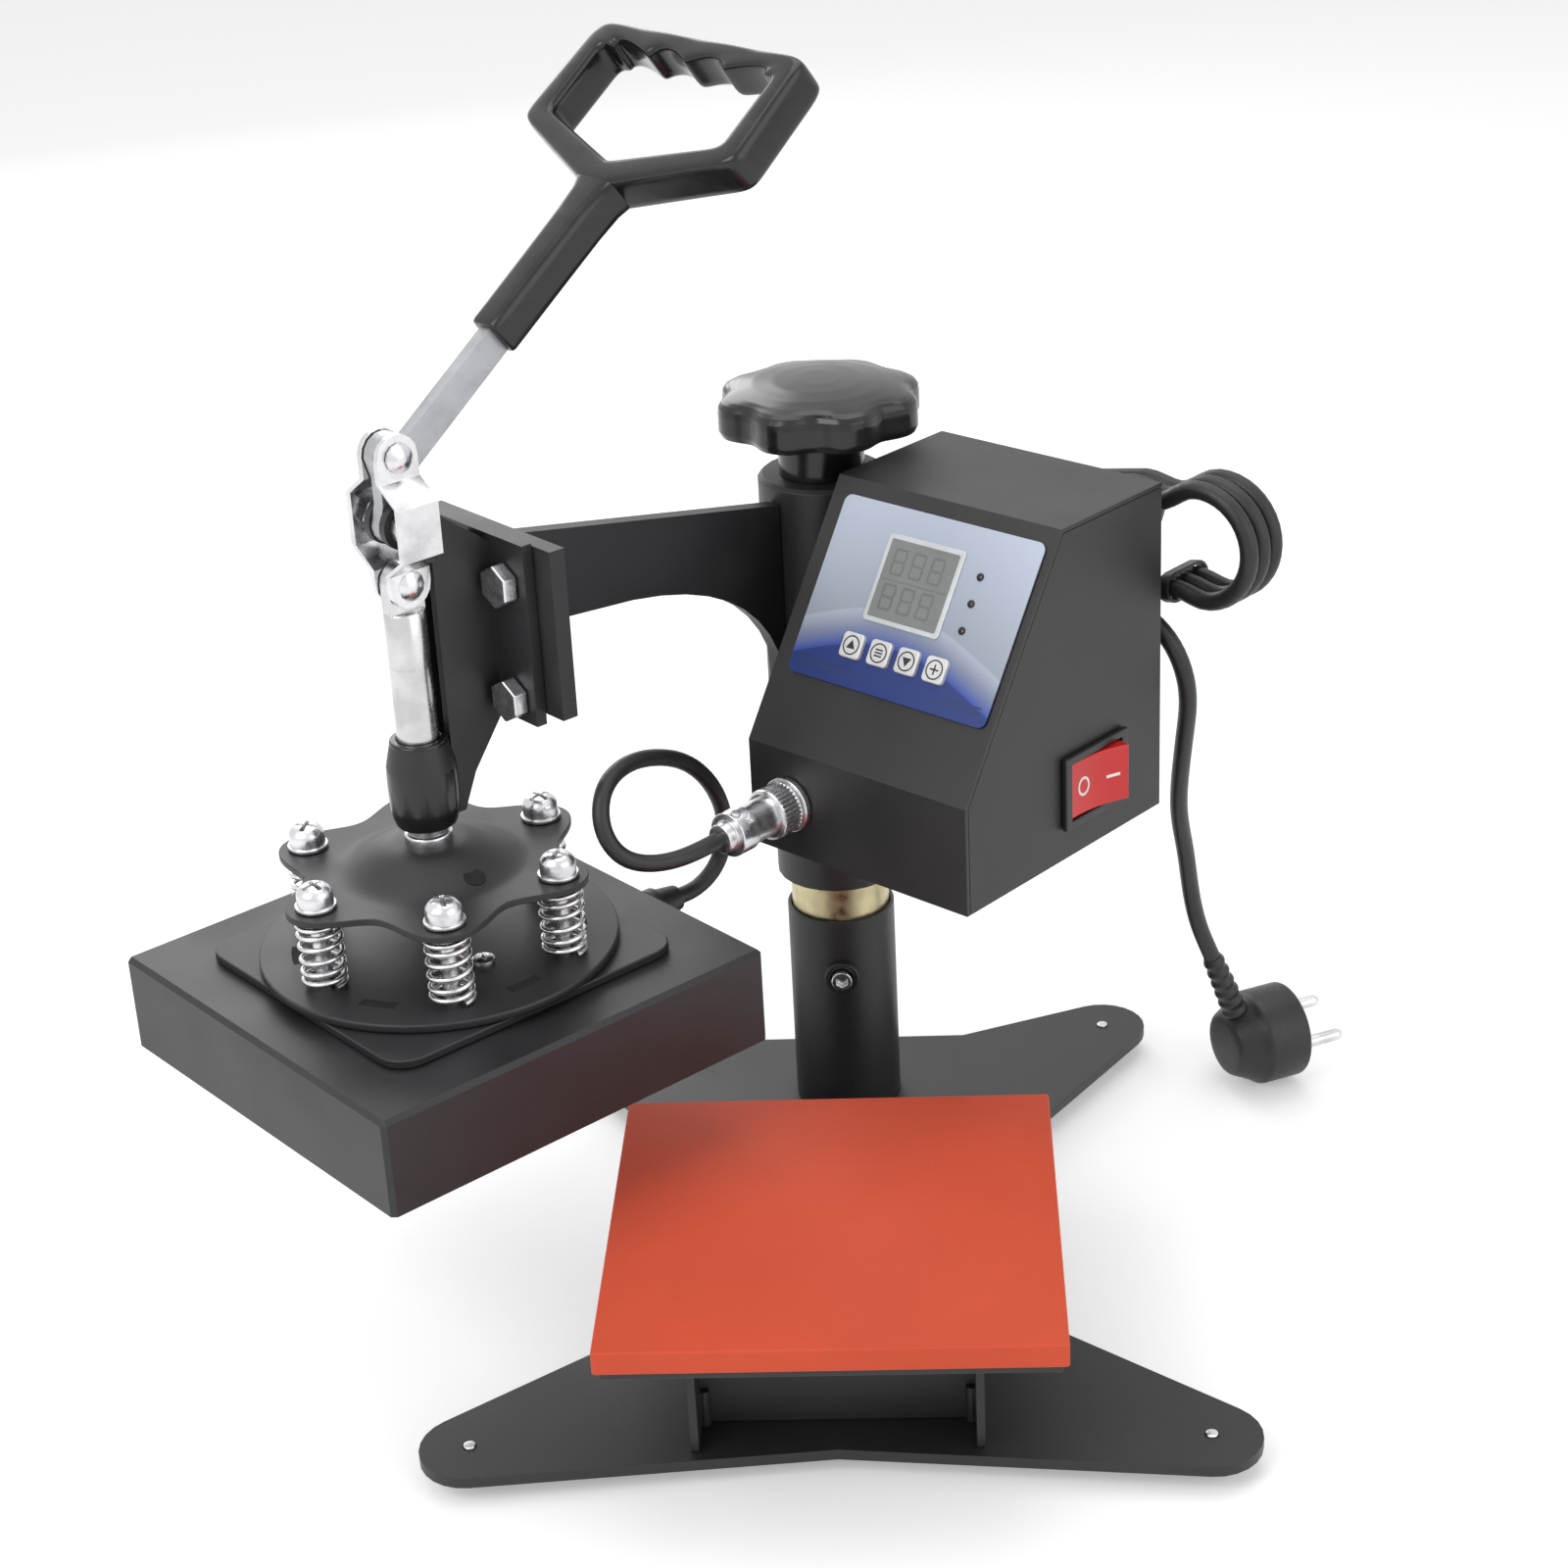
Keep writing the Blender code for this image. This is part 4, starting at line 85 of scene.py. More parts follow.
def shift(x=0.0, y=0.0, z=0.0):
    """A move by x, y and z."""
    out = np.eye(4)
    out[:3, 3] = x, y, z
    return out


ARM_ANGLE = math.radians(-46.55)
BOX_ANGLE = math.radians(6.45)
BOX_CORNER = (27.2, -74.1, 158.1)
BOX_WIDTH = 97.2
BOX_DEPTH = 109.5
BOX_HEIGHT = 121.8
BOX_LIP = 39.7
BOX_TOP_DEPTH = 56.2
REACH = 183.3
CRANK_Z = 324
LEVER_ANGLE = math.radians(37.3)
GRIP_DROP = 5.6
SWITCH_PLACE = (BOX_WIDTH, 69.5, 25.3)
SWITCH_TILT = math.radians(-12)
FALL = math.atan2(BOX_HEIGHT - BOX_LIP, BOX_DEPTH - BOX_TOP_DEPTH)

COLUMN = shift(53, 99)
ARM = COLUMN @ turn(ARM_ANGLE)
BOX_AXIS = ARM @ turn(BOX_ANGLE)
BOX = BOX_AXIS @ shift(*BOX_CORNER)
SLOPE = BOX @ shift(0, 0, BOX_LIP) @ turn(FALL, "X")
HEAD = ARM @ shift(0, -REACH)
HANDLE = HEAD @ shift(0, 0, CRANK_Z) @ turn(LEVER_ANGLE, "X") @ shift(0, 0, -GRIP_DROP)
ROCKER = BOX @ shift(*SWITCH_PLACE) @ turn(SWITCH_TILT)
ALONG_X = turn(math.pi / 2, "Y")
ALONG_Y = turn(-math.pi / 2, "X")
AGAINST_Y = turn(math.pi / 2, "X")
PLUG = COLUMN @ shift(167, 19.7, 19.4) @ turn(math.radians(25))
RELIEF = PLUG @ shift(-12, 0, 8) @ turn(math.radians(-22), "Y")
SOCKET = BOX @ shift(18.5, 0, 20) @ AGAINST_Y
GLAND = BOX @ shift(33, BOX_DEPTH, 92) @ ALONG_Y

# Turned profiles in millimetres: (radius of the corners' easing, [(radius, height), ...]). The rod's
# skin and the connector's ring are corners alone, which aren't eased
FOOT = (0.9, [(0, 0), (7.8, 0), (9, 6.8), (0, 6.8)])
FOOT_STUD = (0.7, [(0, 6), (2.2, 6), (2.2, 11.9), (0, 11.9)])
TUBE_WALL = (0.5, [(19, 12), (19, 95.2), (19.4, 95.5), (20.5, 95.5), (20.5, 11.4), (19, 11.4)])
TUBE_BOSS = (0.6, [(0, 19.2), (6.5, 19.2), (6.5, 24), (4.3, 24), (4.3, 22), (0, 22)])
POST = (1, [(0, 26), (18.65, 26), (18.65, 246.8), (0, 246.8)])
HUB_SCREW = (0.4, [(0, 22), (2.6, 22), (2.6, 24.6), (0, 24.6)])
SPINDLE = (1, [(0, 210), (8, 210), (8, 287.9), (0, 287.9)])
BARREL = (2.4, [(7.3, 195), (7.3, 193.9), (10.2, 193.9), (11.6, 199), (11.95, 208), (11.85, 214), (10.6, 220),
                (9.9, 222.5), (9.8, 225.2), (7.3, 225.2), (7.3, 224)])
DISC = (0.8, [(0, 147.3), (61.5, 147.3), (61.5, 150.3), (0, 150.3)])
SHANK = (0.3, [(0, 150), (3, 150), (3, 180), (0, 180)])
WASHER = (0.4, [(0, 179.3), (7, 179.3), (7, 180.7), (0, 180.7)])
HEAD_GLAND = (0.6, [(0, -1), (7, -1), (7, 3), (6, 3.4), (5.6, 6), (4.6, 12.6), (3.2, 13), (0, 13)])
ROD_SKIN = [(6.6, 188.4), (7.06, 188.6), (7.06, 251.6), (6.75, 251.8), (6.75, 252.4), (7.06, 252.6),
            (7.06, 270.2), (6.7, 270.8)]
ROD_COLLAR = (0.5, [(0, 186), (8.2, 186), (8.2, 190.6), (7.2, 191.2), (0, 191.2)])
SIGHT_HOLE = (0.2, [(0, 0), (3.8, 0), (3.8, 1.05), (0, 1.05)])
LAMP = (0.5, [(0, 0.6), (1.5, 0.6), (1.4, 1.6), (0, 2)])
PLUG_BODY = (1.6, [(0, 10.5), (17.4, 10.5), (19, 9.2), (19, -7.5), (17, -10), (12.5, -19), (9, -19.4),
                   (0, -19.4)])
PLUG_PIN = (0.8, [(0, 9), (2.4, 9), (2.4, 27.6), (1.2, 29.5), (0, 29.5)])
GLAND_NUT = (0.6, [(0, 0.3), (9.5, 0.3), (9.5, 4.3), (0, 4.3)])
GLAND_INNER = (0.3, [(0, -9.8), (7, -9.8), (9.5, -5.8), (9.5, -1.8), (7, -1.8), (7, 1), (0, 1)])
SOCKET_FLANGE = (0.5, [(0, 0.3), (10, 0.3), (10, 2.8), (6.4, 2.8), (6.4, 11.8), (0, 11.8)])
SOCKET_REAR = (0.4, [(0, -8.8), (6.4, -8.8), (6.4, 0.5), (0, 0.5)])
CONNECTOR_BODY = (0.5, [(0, 12.1), (7.2, 12.1), (7.2, 24.1), (8, 24.1), (8, 32.1), (5.4, 32.1), (5.2, 36.1),
                        (0, 36.1)])
CONNECTOR_SCREW = (0.4, [(0, 6), (1.7, 6), (1.7, 9), (0, 9)])
CONNECTOR_RING = [(6.75, 3.1), (8.2, 3.1), (9, 3.6), (9.2, 4.4), (9.2, 11.8), (9, 12.6), (8, 13.1),
                  (7.2, 13.1)]

# Ribbed sleeves: the heights and radii of the ends, the root's height, and the ribs' depth, sign,
# start, span and count, with the heights between which they are cut
PLUG_SLEEVE = dict(low=0, high=36, wide=5.6, narrow=4.2, root=-6, depth=0.7, sign=1, start=0, span=36,
                   ribs=7, cut_from=4, cut_to=37, rows=80)
GLAND_SLEEVE = dict(low=4.4, high=36, wide=6.9, narrow=4.5, root=4, depth=0.6, sign=-1, start=10, span=26,
                    ribs=6, cut_from=10, cut_to=34, rows=90)

# Knob: radius, height, and the share of the flutes' depth there
KNOB = [(8.4, 286, 0), (8.4, 270.3, 0), (15.6, 270.3, 0), (15.6, 284, 0), (17, 286, 0), (29, 286.2, 0.7),
        (34, 286.6, 1), (36.5, 287.6, 1), (37.5, 289.6, 1), (37.5, 296, 1), (37.2, 298.4, 1), (36, 300, 0.9),
        (34, 301, 0.6), (30, 302, 0.15), (24, 303.2, 0), (16, 304.2, 0), (8, 304.7, 0), (0, 304.8, 0)]
KNOB_ROWS = 120
KNOB_STEPS = 240
FLUTE_DEPTH = 4
FLUTE_POWER = 1.3

# Handle, in its own axes: the D's outlines, then the neck's sections as (y, half x, half z)
RING_MIDDLE = 148
RING_OUTER = [(6.5, 113), (55.3, 131.6), (52.6, 175.6), (-52.6, 175.6), (-55.3, 131.6), (-6.5, 113)]
RING_INNER = [(0, 122.6), (44, 136.6), (44, 166.6), (-44, 166.6), (-44, 136.6)]
RING_STEPS = 720
RING_SOFT = 5
BAR_STEPS = 40
BAR_SQUARE = 0.42
BAR_HALF_DEPTH = 7.5
GRIP_RISE = 0.8
FINGERS_HALF = 42
NECK = [(52.6, 5.6, 6.2), (52.9, 6.2, 6.8), (54, 6.5, 7.1), (60, 6.6, 7.1), (80, 6.7, 7.1), (100, 7, 7.1),
        (110, 8, 7.1), (116, 10.5, 7.2), (119, 13.5, 7.2)]

# Head and plunger
SCREW_CIRCLE = 46.5
SCREW_COUNT = 6
SCREW_HEAD = dict(low=180.7, radius=6.2, height=7)
DISC_SCREW = dict(low=150.3, radius=4, height=1.8)
DISC_SCREW_X = 25.4
DISC_SCREW_SPIN = 0.3
SLOT_HALF = 0.13
SLOT_OUTER = 50.5
SLOT_INNER = 46.5
HEAD_GLAND_PLACE = (16, 78.5, 136.5)
SPIDER_BASE = 176.6
SPIDER_THICK = 2.4
SPIDER_MEAN = 50
SPIDER_SWING = 6.5
SPIDER_STEPS = 288
DOME_ROWS = 24
DOME_CROWN = 11
DOME_REACH = 23
DOME_RISE = 9
SIGHT_PLACE = (24.8, 0, 181.2)
SIGHT_LEAN = math.radians(24)
SPRING_LOW = 150.6
SPRING_HIGH = 176.3
SPRING_RADIUS = 7
SPRING_CLOSING = 0.35

# Panel, in the slope's axes: outlines as (low u, high u, low v, high v, corner)
FACE = 1.1
FILM = (6.8, 94.2, 27, 92, 3)
BEZEL = (31.4, 64.8, 51.2, 82.6, 1.6)
GLASS = (33.2, 63, 53, 80.8, 0.6)
GLASS_TOP = FACE + 0.85
PRINT = 0.05
DIGIT_ROWS = (56, 68.5)
DIGIT_START = 36.5
DIGIT_STEP = 8.2
DIGIT_BARS = [(0, 0, 5, 0.8), (0, 4.3, 5, 0.8), (0, 8.6, 5, 0.8), (-0.3, 0.7, 0.8, 3.6), (4.6, 0.7, 0.8, 3.6),
              (-0.3, 5.1, 0.8, 3.4), (4.6, 5.1, 0.8, 3.4)]
DIGIT_RULE = (34, 62.2, 66.5, 66.8)
STRIPES = [(10, 38, 31, 31.9), (10, 33, 33.2, 33.8), (70, 91, 31, 31.9), (75, 91, 33.2, 33.8)]
LAMP_PLACES = [(73, 56.6), (73, 66.1), (73, 75.6)]
BUTTON_START = 31.7
BUTTON_STEP = 12.27
BUTTON_V = 41.4
BUTTON_HALF = 4.5
BUTTON_CORNER = 1.6
BUTTON_TOP = 2.7
MARK_THICK = 0.06

# Rocker
KEY_HALF_WIDTH = 13.2
KEY_HALF_HEIGHT = 10.4
KEY_BACK = [(0, 13.2), (-6, 5), (-6, -5), (0, -13.2)]
MARK_LIFT = 0.09

# Leads: the heater cable starts in head axes, runs in arm axes and ends in socket axes; the mains
# lead's routes are in BOX_AXIS
CABLE_ROUTE = [(16.5, -74.5, 142), (18, -70, 156), (21, -75, 173), (25, -88, 189.5), (30, -106.5, 201),
               (36, -130, 205), (41, -140, 201), (46, -144, 191.5), (51, -140, 182), (56, -130, 178.1)]
CABLE_START = [(16, 88, 136.5), (16, 91.8, 136.5), (16, 97.8, 136.5)]
CABLE_END = [(0, 0, 34), (0, 0, 36.4), (0, 0, 42.4)]
CABLE_SPACING = 2
ENTRY_ROUTE = [(60, 106, 248), (58, 124, 240), (50, 134, 220), (36, 128, 198), (24, 108, 186),
               (20, 86, 187), (26, 71, 196), (42, 65, 208)]
DROP_ROUTE = [(94, 43, 226.4), (107, 43.1, 226.8), (119.5, 44.3, 220), (126.5, 48, 202), (122.5, 53.8, 180),
              (116, 60.3, 159), (109.5, 69, 137), (105.2, 79.5, 115)]
GLAND_TIP = np.array([60.2, 71.7, 250.1])
LEAD_SUNK = 6
LEAD_STRAIGHT = 13.2
LEAD_SPACING = 3
NOSE = 36.3
HANK_CENTRE = (81, 244.5)
HANK_FOLD = 20.3
HANK_HALF = 50
HANK_TURNS = 3
HANK_LAYER = 7.3
HANK_GAP = 7.8
HANK_WAIST = 35
HANK_WAIST_REACH = 15
HANK_DRAWN = 4.5
HANK_TILT = math.radians(10)
HANK_MARKS = 96

# Copies of nodes whose shape is right: node, finish, body, bevel's width in millimetres and its segments
STAND_COPIES = [("base_plate", "coat", "base", 0.6, 3), ("pedestal", "coat", "base", 0.4, 2),
                ("bed_plate", "coat", "base", 0.3, 2)]
COLUMN_COPIES = [("column_set_screw", "zinc", "base", 0.4, 2), ("swing_hub", "coat", "swing_arm", 0.5, 2)]
PLATE_COPIES = [("swing_arm_plate", "coat", "swing_arm", 0.7, 3),
                ("clamp_frame", "coat", "swing_arm", 0.6, 3)]
BOLT_COPIES = [(f"clamp_bolt_{number}", "zinc", "swing_arm", 0.6, 3) for number in range(1, 5)]
BOLT_COPIES.append(("lever_pivot_bolt", "zinc", "swing_arm", 0.5, 3))
LEVER_COPIES = [("lever_bar", "lever", "lever", 0.5, 3), ("crank_pin", "zinc", "lever", 0.4, 3),
                ("toggle_link_left", "zinc", "toggle_link", 0.6, 3),
                ("toggle_link_right", "zinc", "toggle_link", 0.6, 3)]
HEAD_COPIES = [("head_cover", "coat", "head", 0.9, 4), ("mounting_plate", "coat", "head", 0.6, 3),
               ("heating_platen", "aluminium", "head", 0.6, 2)]
BOX_COPIES = [("control_box_wrap", "coat", "swing_arm", 0.9, 4),
              ("control_box_chassis", "coat", "swing_arm", 0.5, 3),
              ("controller_module", "board", "swing_arm", 0.2, 1)]

# Shapes in millimetres; a surface is a pair (points, faces)


def put(matrix, points):
    """Points carried into the frame that the matrix gives."""
    return np.asarray(points, float) @ matrix[:3, :3].T + matrix[:3, 3]


def around(count):
    """Evenly spaced angles round a circle."""
    return np.arange(count) * TAU / count


def grid_faces(rows, columns, round_rows, round_columns):
    """Quads of a grid of rows by columns, whose rows or columns may close on themselves."""
    r = np.arange(rows if round_rows else rows - 1)
    c = np.arange(columns if round_columns else columns - 1)
    a, b = np.meshgrid(r, c, indexing="ij")
    a, b = a.ravel(), b.ravel()
    a2, b2 = (a + 1) % rows, (b + 1) % columns
    return np.column_stack([a * columns + b, a * columns + b2, a2 * columns + b2, a2 * columns + b])


def sheet(points, round_rows=False, round_columns=True, capped=True):
    """A surface from a grid of points; its first and last rows are closed by flat faces."""
    rows, columns = points.shape[:2]
    faces = grid_faces(rows, columns, round_rows, round_columns).tolist()
    if capped and not round_rows:
        faces.append(list(range(columns))[::-1])
        faces.append([(rows - 1) * columns + i for i in range(columns)])
    return points.reshape(-1, 3), faces


def eased(corners, radius, steps=5):
    """A (radius, height) profile with the corners between its ends rounded by quadratic arcs:
    (1 - t)^2 a + 2 t (1 - t) b + t^2 c, where a and c lie at radius from the corner b."""
    corners = [np.array(c, float) for c in corners]
    out = [corners[0]]
    t = np.linspace(0, 1, steps)[:, None]
    for before, here, after in zip(corners, corners[1:], corners[2:]):
        back, ahead = before - here, after - here
        back_length, ahead_length = np.linalg.norm(back), np.linalg.norm(ahead)
        reach = min(radius, back_length * 0.45, ahead_length * 0.45)
        a, c = here + back / back_length * reach, here + ahead / ahead_length * reach
        out += list((1 - t) ** 2 * a + 2 * t * (1 - t) * here + t ** 2 * c)
    out.append(corners[-1])
    return np.array(out)


def turned(profile, matrix, steps, ribs=0, depth=0.0, ribbed=(0, 0), hollow=False):
    """A profile of (radius, height) swept round Z: (r cos a, r sin a, z); rows between the two
    ribbed heights lose depth (1 + cos(ribs a)) / 2 from their radius. A hollow profile closes
    on itself, as a pipe's wall does."""
    profile = np.array(profile, float)
    a = around(steps)
    pole = 1e-3
    r = np.maximum(profile[:, :1], pole) * np.ones(steps)
    z = profile[:, 1:] * np.ones(steps)
    within = (profile[:, 1] >= ribbed[0]) & (profile[:, 1] <= ribbed[1])
    r = r - within[:, None] * depth * (1 + np.cos(ribs * a)) / 2
    points, faces = sheet(np.stack([r * np.cos(a), r * np.sin(a), z], axis=2), hollow, True, not hollow)
    return put(matrix, points), faces


def lathe(shape, matrix, steps, arc=5, **more):
    """A table's profile, with its corners eased, turned round the frame's Z."""
    return turned(eased(shape[1], shape[0], arc), matrix, steps, **more)


def ribbed_sleeve(matrix, low, high, wide, narrow, root, depth, sign, start, span, ribs, cut_from, cut_to,
                  rows):
    """A tapering sleeve with round ribs: its radius loses depth (1 + sign cos(tau ribs s)) / 2,
    where s is the height's share of the span."""
    z = np.linspace(low, high, rows)
    cut = (z > cut_from) & (z < cut_to)
    wave = 0.5 + sign * 0.5 * np.cos((z - start) / span * TAU * ribs)
    r = np.interp(z, [low, high], [wide, narrow]) - depth * wave * cut
    profile = np.column_stack([np.concatenate([[0], r, [0]]), np.concatenate([[root], z, [high]])])
    return turned(profile, matrix, 40)


def tube(path, radius, sides=20):
    """A round tube along a path: rings of radius in the plane square to the path, whose
    first side direction is carried along the path without twist."""
    ahead = np.gradient(path, axis=0)
    ahead /= np.linalg.norm(ahead, axis=1)[:, None]
    side = np.zeros_like(path)
    off_line = (0.31, 0.17, 0.93)
    start = np.cross(ahead[0], off_line)
    side[0] = start / np.linalg.norm(start)
    for i in range(1, len(path)):
        flat = side[i - 1] - ahead[i] * (side[i - 1] @ ahead[i])
        side[i] = flat / np.linalg.norm(flat)
    other = np.cross(ahead, side)
    a = around(sides)
    points = path[:, None] + radius * (side[:, None] * np.cos(a)[None, :, None]
                                       + other[:, None] * np.sin(a)[None, :, None])
    return sheet(points)


def prism(outline, low, high, matrix):
    """A flat outline, run anticlockwise, carried from one height to another."""
    outline = np.array(outline, float)
    points = np.stack([np.column_stack([outline, np.full(len(outline), z)]) for z in (low, high)])
    points, faces = sheet(points)
    return put(matrix, points), faces


def slab(x0, x1, y0, y1, z0, z1, matrix):
    """A block between six planes."""
    return prism([(x0, y0), (x1, y0), (x1, y1), (x0, y1)], z0, z1, matrix)


def soft_rectangle(x0, x1, y0, y1, radius, steps=6):
    """A rectangle run anticlockwise with quarter rounds at its corners."""
    a = np.linspace(0, math.pi / 2, steps)
    out = []
    corners = ((x1, y1, 1, 1), (x0, y1, -1, 1), (x0, y0, -1, -1), (x1, y0, 1, -1))
    for k, (cx, cy, sx, sy) in enumerate(corners):
        out.append(np.column_stack([cx - sx * radius + radius * np.cos(a + k * math.pi / 2),
                                    cy - sy * radius + radius * np.sin(a + k * math.pi / 2)]))
    return np.vstack(out)


def smooth_route(points, spacing):
    """Points at an even spacing on the natural cubic through the chosen ones."""
    points = np.array(points, float)
    along = np.concatenate([[0], np.cumsum(np.linalg.norm(np.diff(points, axis=0), axis=1))])
    step = np.diff(along)
    count = len(points)
    system = np.eye(count)
    target = np.zeros((count, 3))
    for i in range(1, count - 1):
        system[i, i - 1:i + 2] = step[i - 1], 2 * (step[i - 1] + step[i]), step[i]
        target[i] = 6 * ((points[i + 1] - points[i]) / step[i] - (points[i] - points[i - 1]) / step[i - 1])
    bend = np.linalg.solve(system, target)
    places = np.linspace(0, along[-1], max(int(along[-1] / spacing), 2) + 1)
    left = np.clip(np.searchsorted(along, places) - 1, 0, count - 2)
    h = step[left][:, None]
    ahead = along[left + 1][:, None] - places[:, None]
    behind = places[:, None] - along[left][:, None]
    return (bend[left] * ahead ** 3 / (6 * h) + bend[left + 1] * behind ** 3 / (6 * h)
            + (points[left] / h - bend[left] * h / 6) * ahead
            + (points[left + 1] / h - bend[left + 1] * h / 6) * behind)


# Pieces


def piece(name, parts, look, body, replaces=(), bevel=0.0, segments=3, angle=35, smooth=True):
    """One object from surfaces that stand in the row frame; it rides on a body, if one is named."""
    points, faces, base = [], [], 0
    for part_points, part_faces in parts:
        points.append(part_points)
        faces += [[i + base for i in face] for face in part_faces]
        base += len(part_points)
    mesh = bpy.data.meshes.new(name)
    mesh.from_pydata(np.vstack(points) * MM, [], faces)
    mesh.validate()
    return finished(name, mesh, look, body, replaces, bevel, segments, angle, smooth)


def finished(name, mesh, look, body, replaces, bevel, segments, angle, smooth=True):
    """The object of a mesh, welded, shaded and bevelled, on its body and in its nodes' stead."""
    weld = 2e-6
    bm = bmesh.new()
    bm.from_mesh(mesh)
    bmesh.ops.remove_doubles(bm, verts=bm.verts, dist=weld)
    bmesh.ops.recalc_face_normals(bm, faces=bm.faces)
    bm.to_mesh(mesh)
    bm.free()
    obj = bpy.data.objects.new(name, mesh)
    bpy.context.scene.collection.objects.link(obj)
    mesh.materials.append(finish(look))
    if smooth:
        mesh.shade_smooth()
        mesh.set_sharp_from_angle(angle=math.radians(angle))
    if bevel:
        mod = obj.modifiers.new("edges", "BEVEL")
        mod.width = bevel * MM
        mod.segments = segments
        mod.limit_method = "ANGLE"
        mod.angle_limit = math.radians(28)
        mod.harden_normals = True
    if body:
        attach(obj, body)
    if replaces:
        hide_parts(*replaces)
    return obj


def dressed(node, look, body, bevel, segments, angle=35):
    """A welded copy of a node whose shape is right, with eased edges and smooth rounds."""
    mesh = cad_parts[node].data.copy()
    mesh.materials.clear()
    weld, flat = 1e-5, math.radians(1)
    bm = bmesh.new()
    bm.from_mesh(mesh)
    bmesh.ops.remove_doubles(bm, verts=bm.verts, dist=weld)
    bmesh.ops.dissolve_limit(bm, angle_limit=flat, verts=bm.verts, edges=bm.edges)
    bm.to_mesh(mesh)
    bm.free()
    return finished(node + "_dressed", mesh, look, body, (node,), bevel, segments, angle)


def dress_all(copies):
    for row in copies:
        dressed(*row)


# Materials


def shader(name, colour, roughness, metallic=0.0):
    material = bpy.data.materials.new(name)
    material.use_nodes = True
    tree = material.node_tree
    bsdf = tree.nodes["Principled BSDF"]
    bsdf.inputs["Base Color"].default_value = (*colour, 1)
    bsdf.inputs["Roughness"].default_value = roughness
    bsdf.inputs["Metallic"].default_value = metallic
    return material, tree, bsdf


def noise(tree, scale, detail, stretch=(1, 1, 1), **values):
    """Noise on Object coordinates, its scale in turns per metre."""
    coord = tree.nodes.new("ShaderNodeTexCoord")
    mapping = tree.nodes.new("ShaderNodeMapping")
    mapping.inputs["Scale"].default_value = stretch
    node = tree.nodes.new("ShaderNodeTexNoise")
    node.inputs["Scale"].default_value = scale
    node.inputs["Detail"].default_value = detail
    for key, value in values.items():
        node.inputs[key].default_value = value
    tree.links.new(coord.outputs["Object"], mapping.inputs["Vector"])
    tree.links.new(mapping.outputs["Vector"], node.inputs["Vector"])
    return node.outputs["Fac"]


def ramp(tree, source, stops):
    node = tree.nodes.new("ShaderNodeValToRGB")
    elements = node.color_ramp.elements
    elements[0].position, elements[0].color = stops[0][0], (*stops[0][1], 1)
    elements[1].position, elements[1].color = stops[-1][0], (*stops[-1][1], 1)
    for place, colour in stops[1:-1]:
        elements.new(place).color = (*colour, 1)
    tree.links.new(source, node.inputs["Fac"])
    return node.outputs["Color"]


def bump(tree, bsdf, source, strength, distance):
    node = tree.nodes.new("ShaderNodeBump")
    node.inputs["Strength"].default_value = strength
    node.inputs["Distance"].default_value = distance
    tree.links.new(source, node.inputs["Height"])
    tree.links.new(node.outputs["Normal"], bsdf.inputs["Normal"])


def vary(tree, bsdf, socket, source, low, high):
    """The socket runs from low to high as the source runs over its middle range."""
    node = tree.nodes.new("ShaderNodeMapRange")
    for key, value in (("From Min", 0.3), ("From Max", 0.7), ("To Min", low), ("To Max", high)):
        node.inputs[key].default_value = value
    tree.links.new(source, node.inputs["Value"])
    tree.links.new(node.outputs["Result"], bsdf.inputs[socket])


def tones(low, high):
    """Stops of a cloudy colour: its place, and the factor on the colour there."""
    return [(0.3, low), (0.7, high)]


ZINC_TONES = [(0.32, 0.8), (0.5, 1), (0.7, 1.12)]


def worked(name, colour, roughness, metallic, grain, cloud, stops, sheen, relief, sheen_by="grain", most=1.0):
    """A finish whose colour follows a broad cloud, whose roughness follows the grain or the cloud,
    and whose height follows the grain. sheen holds the factor and the sum for both ends."""
    material, tree, bsdf = shader(name, colour, roughness, metallic)
    fine, broad = noise(tree, **grain), noise(tree, **cloud)
    tints = [(place, tuple(min(c * factor, most) for c in colour)) for place, factor in stops]
    tree.links.new(ramp(tree, broad, tints), bsdf.inputs["Base Color"])
    low, high = (roughness * factor + more for factor, more in sheen)
    vary(tree, bsdf, "Roughness", broad if sheen_by == "cloud" else fine, low, high)
    bump(tree, bsdf, fine, *relief)
    return material


def plain(name, colour, roughness, metallic=0.0, scale=500, relief=(0.2, 0.0001), spread=0.12):
    """A quiet finish: fine grain in its gloss and height, and a slightly uneven colour."""
    grain, cloud = dict(scale=scale, detail=4), dict(scale=scale / 12, detail=3)
    return worked(name, colour, roughness, metallic, grain, cloud, tones(1 - spread, 1 + spread),
                  ((1, -0.06), (1, 0.08)), relief)


def zinc(name, colour, roughness, stretch=(1, 1, 1), scale=240):
    """Plated or ground steel: uneven colour, drawn streaks and tiny pits."""
    return worked(name, colour, roughness, 1.0, dict(scale=scale, detail=6, stretch=stretch, Roughness=0.7),
                  dict(scale=70, detail=3), ZINC_TONES, ((0.7, 0), (1.6, 0)), (0.2, 0.0001), most=0.95)


def rubber(name, colour, roughness):
    """Cable rubber: a soft sheen and a fine drawn grain."""
    return worked(name, colour, roughness, 0.0, dict(scale=900, detail=4), dict(scale=45, detail=3),
                  tones(0.75, 1.3), ((1, -0.07), (1, 0.1)), (0.25, 0.0001))


def coat(colour):
    """Powder coat: fine orange peel, with soft cloudy changes of gloss."""
    return worked("black_powder_coat", colour, 0.46, 0.0, dict(scale=1500, detail=3),
                  dict(scale=22, detail=4), tones(0.8, 1.25), ((1, -0.06), (1, 0.06)),
                  (0.35, 0.00012), "cloud")


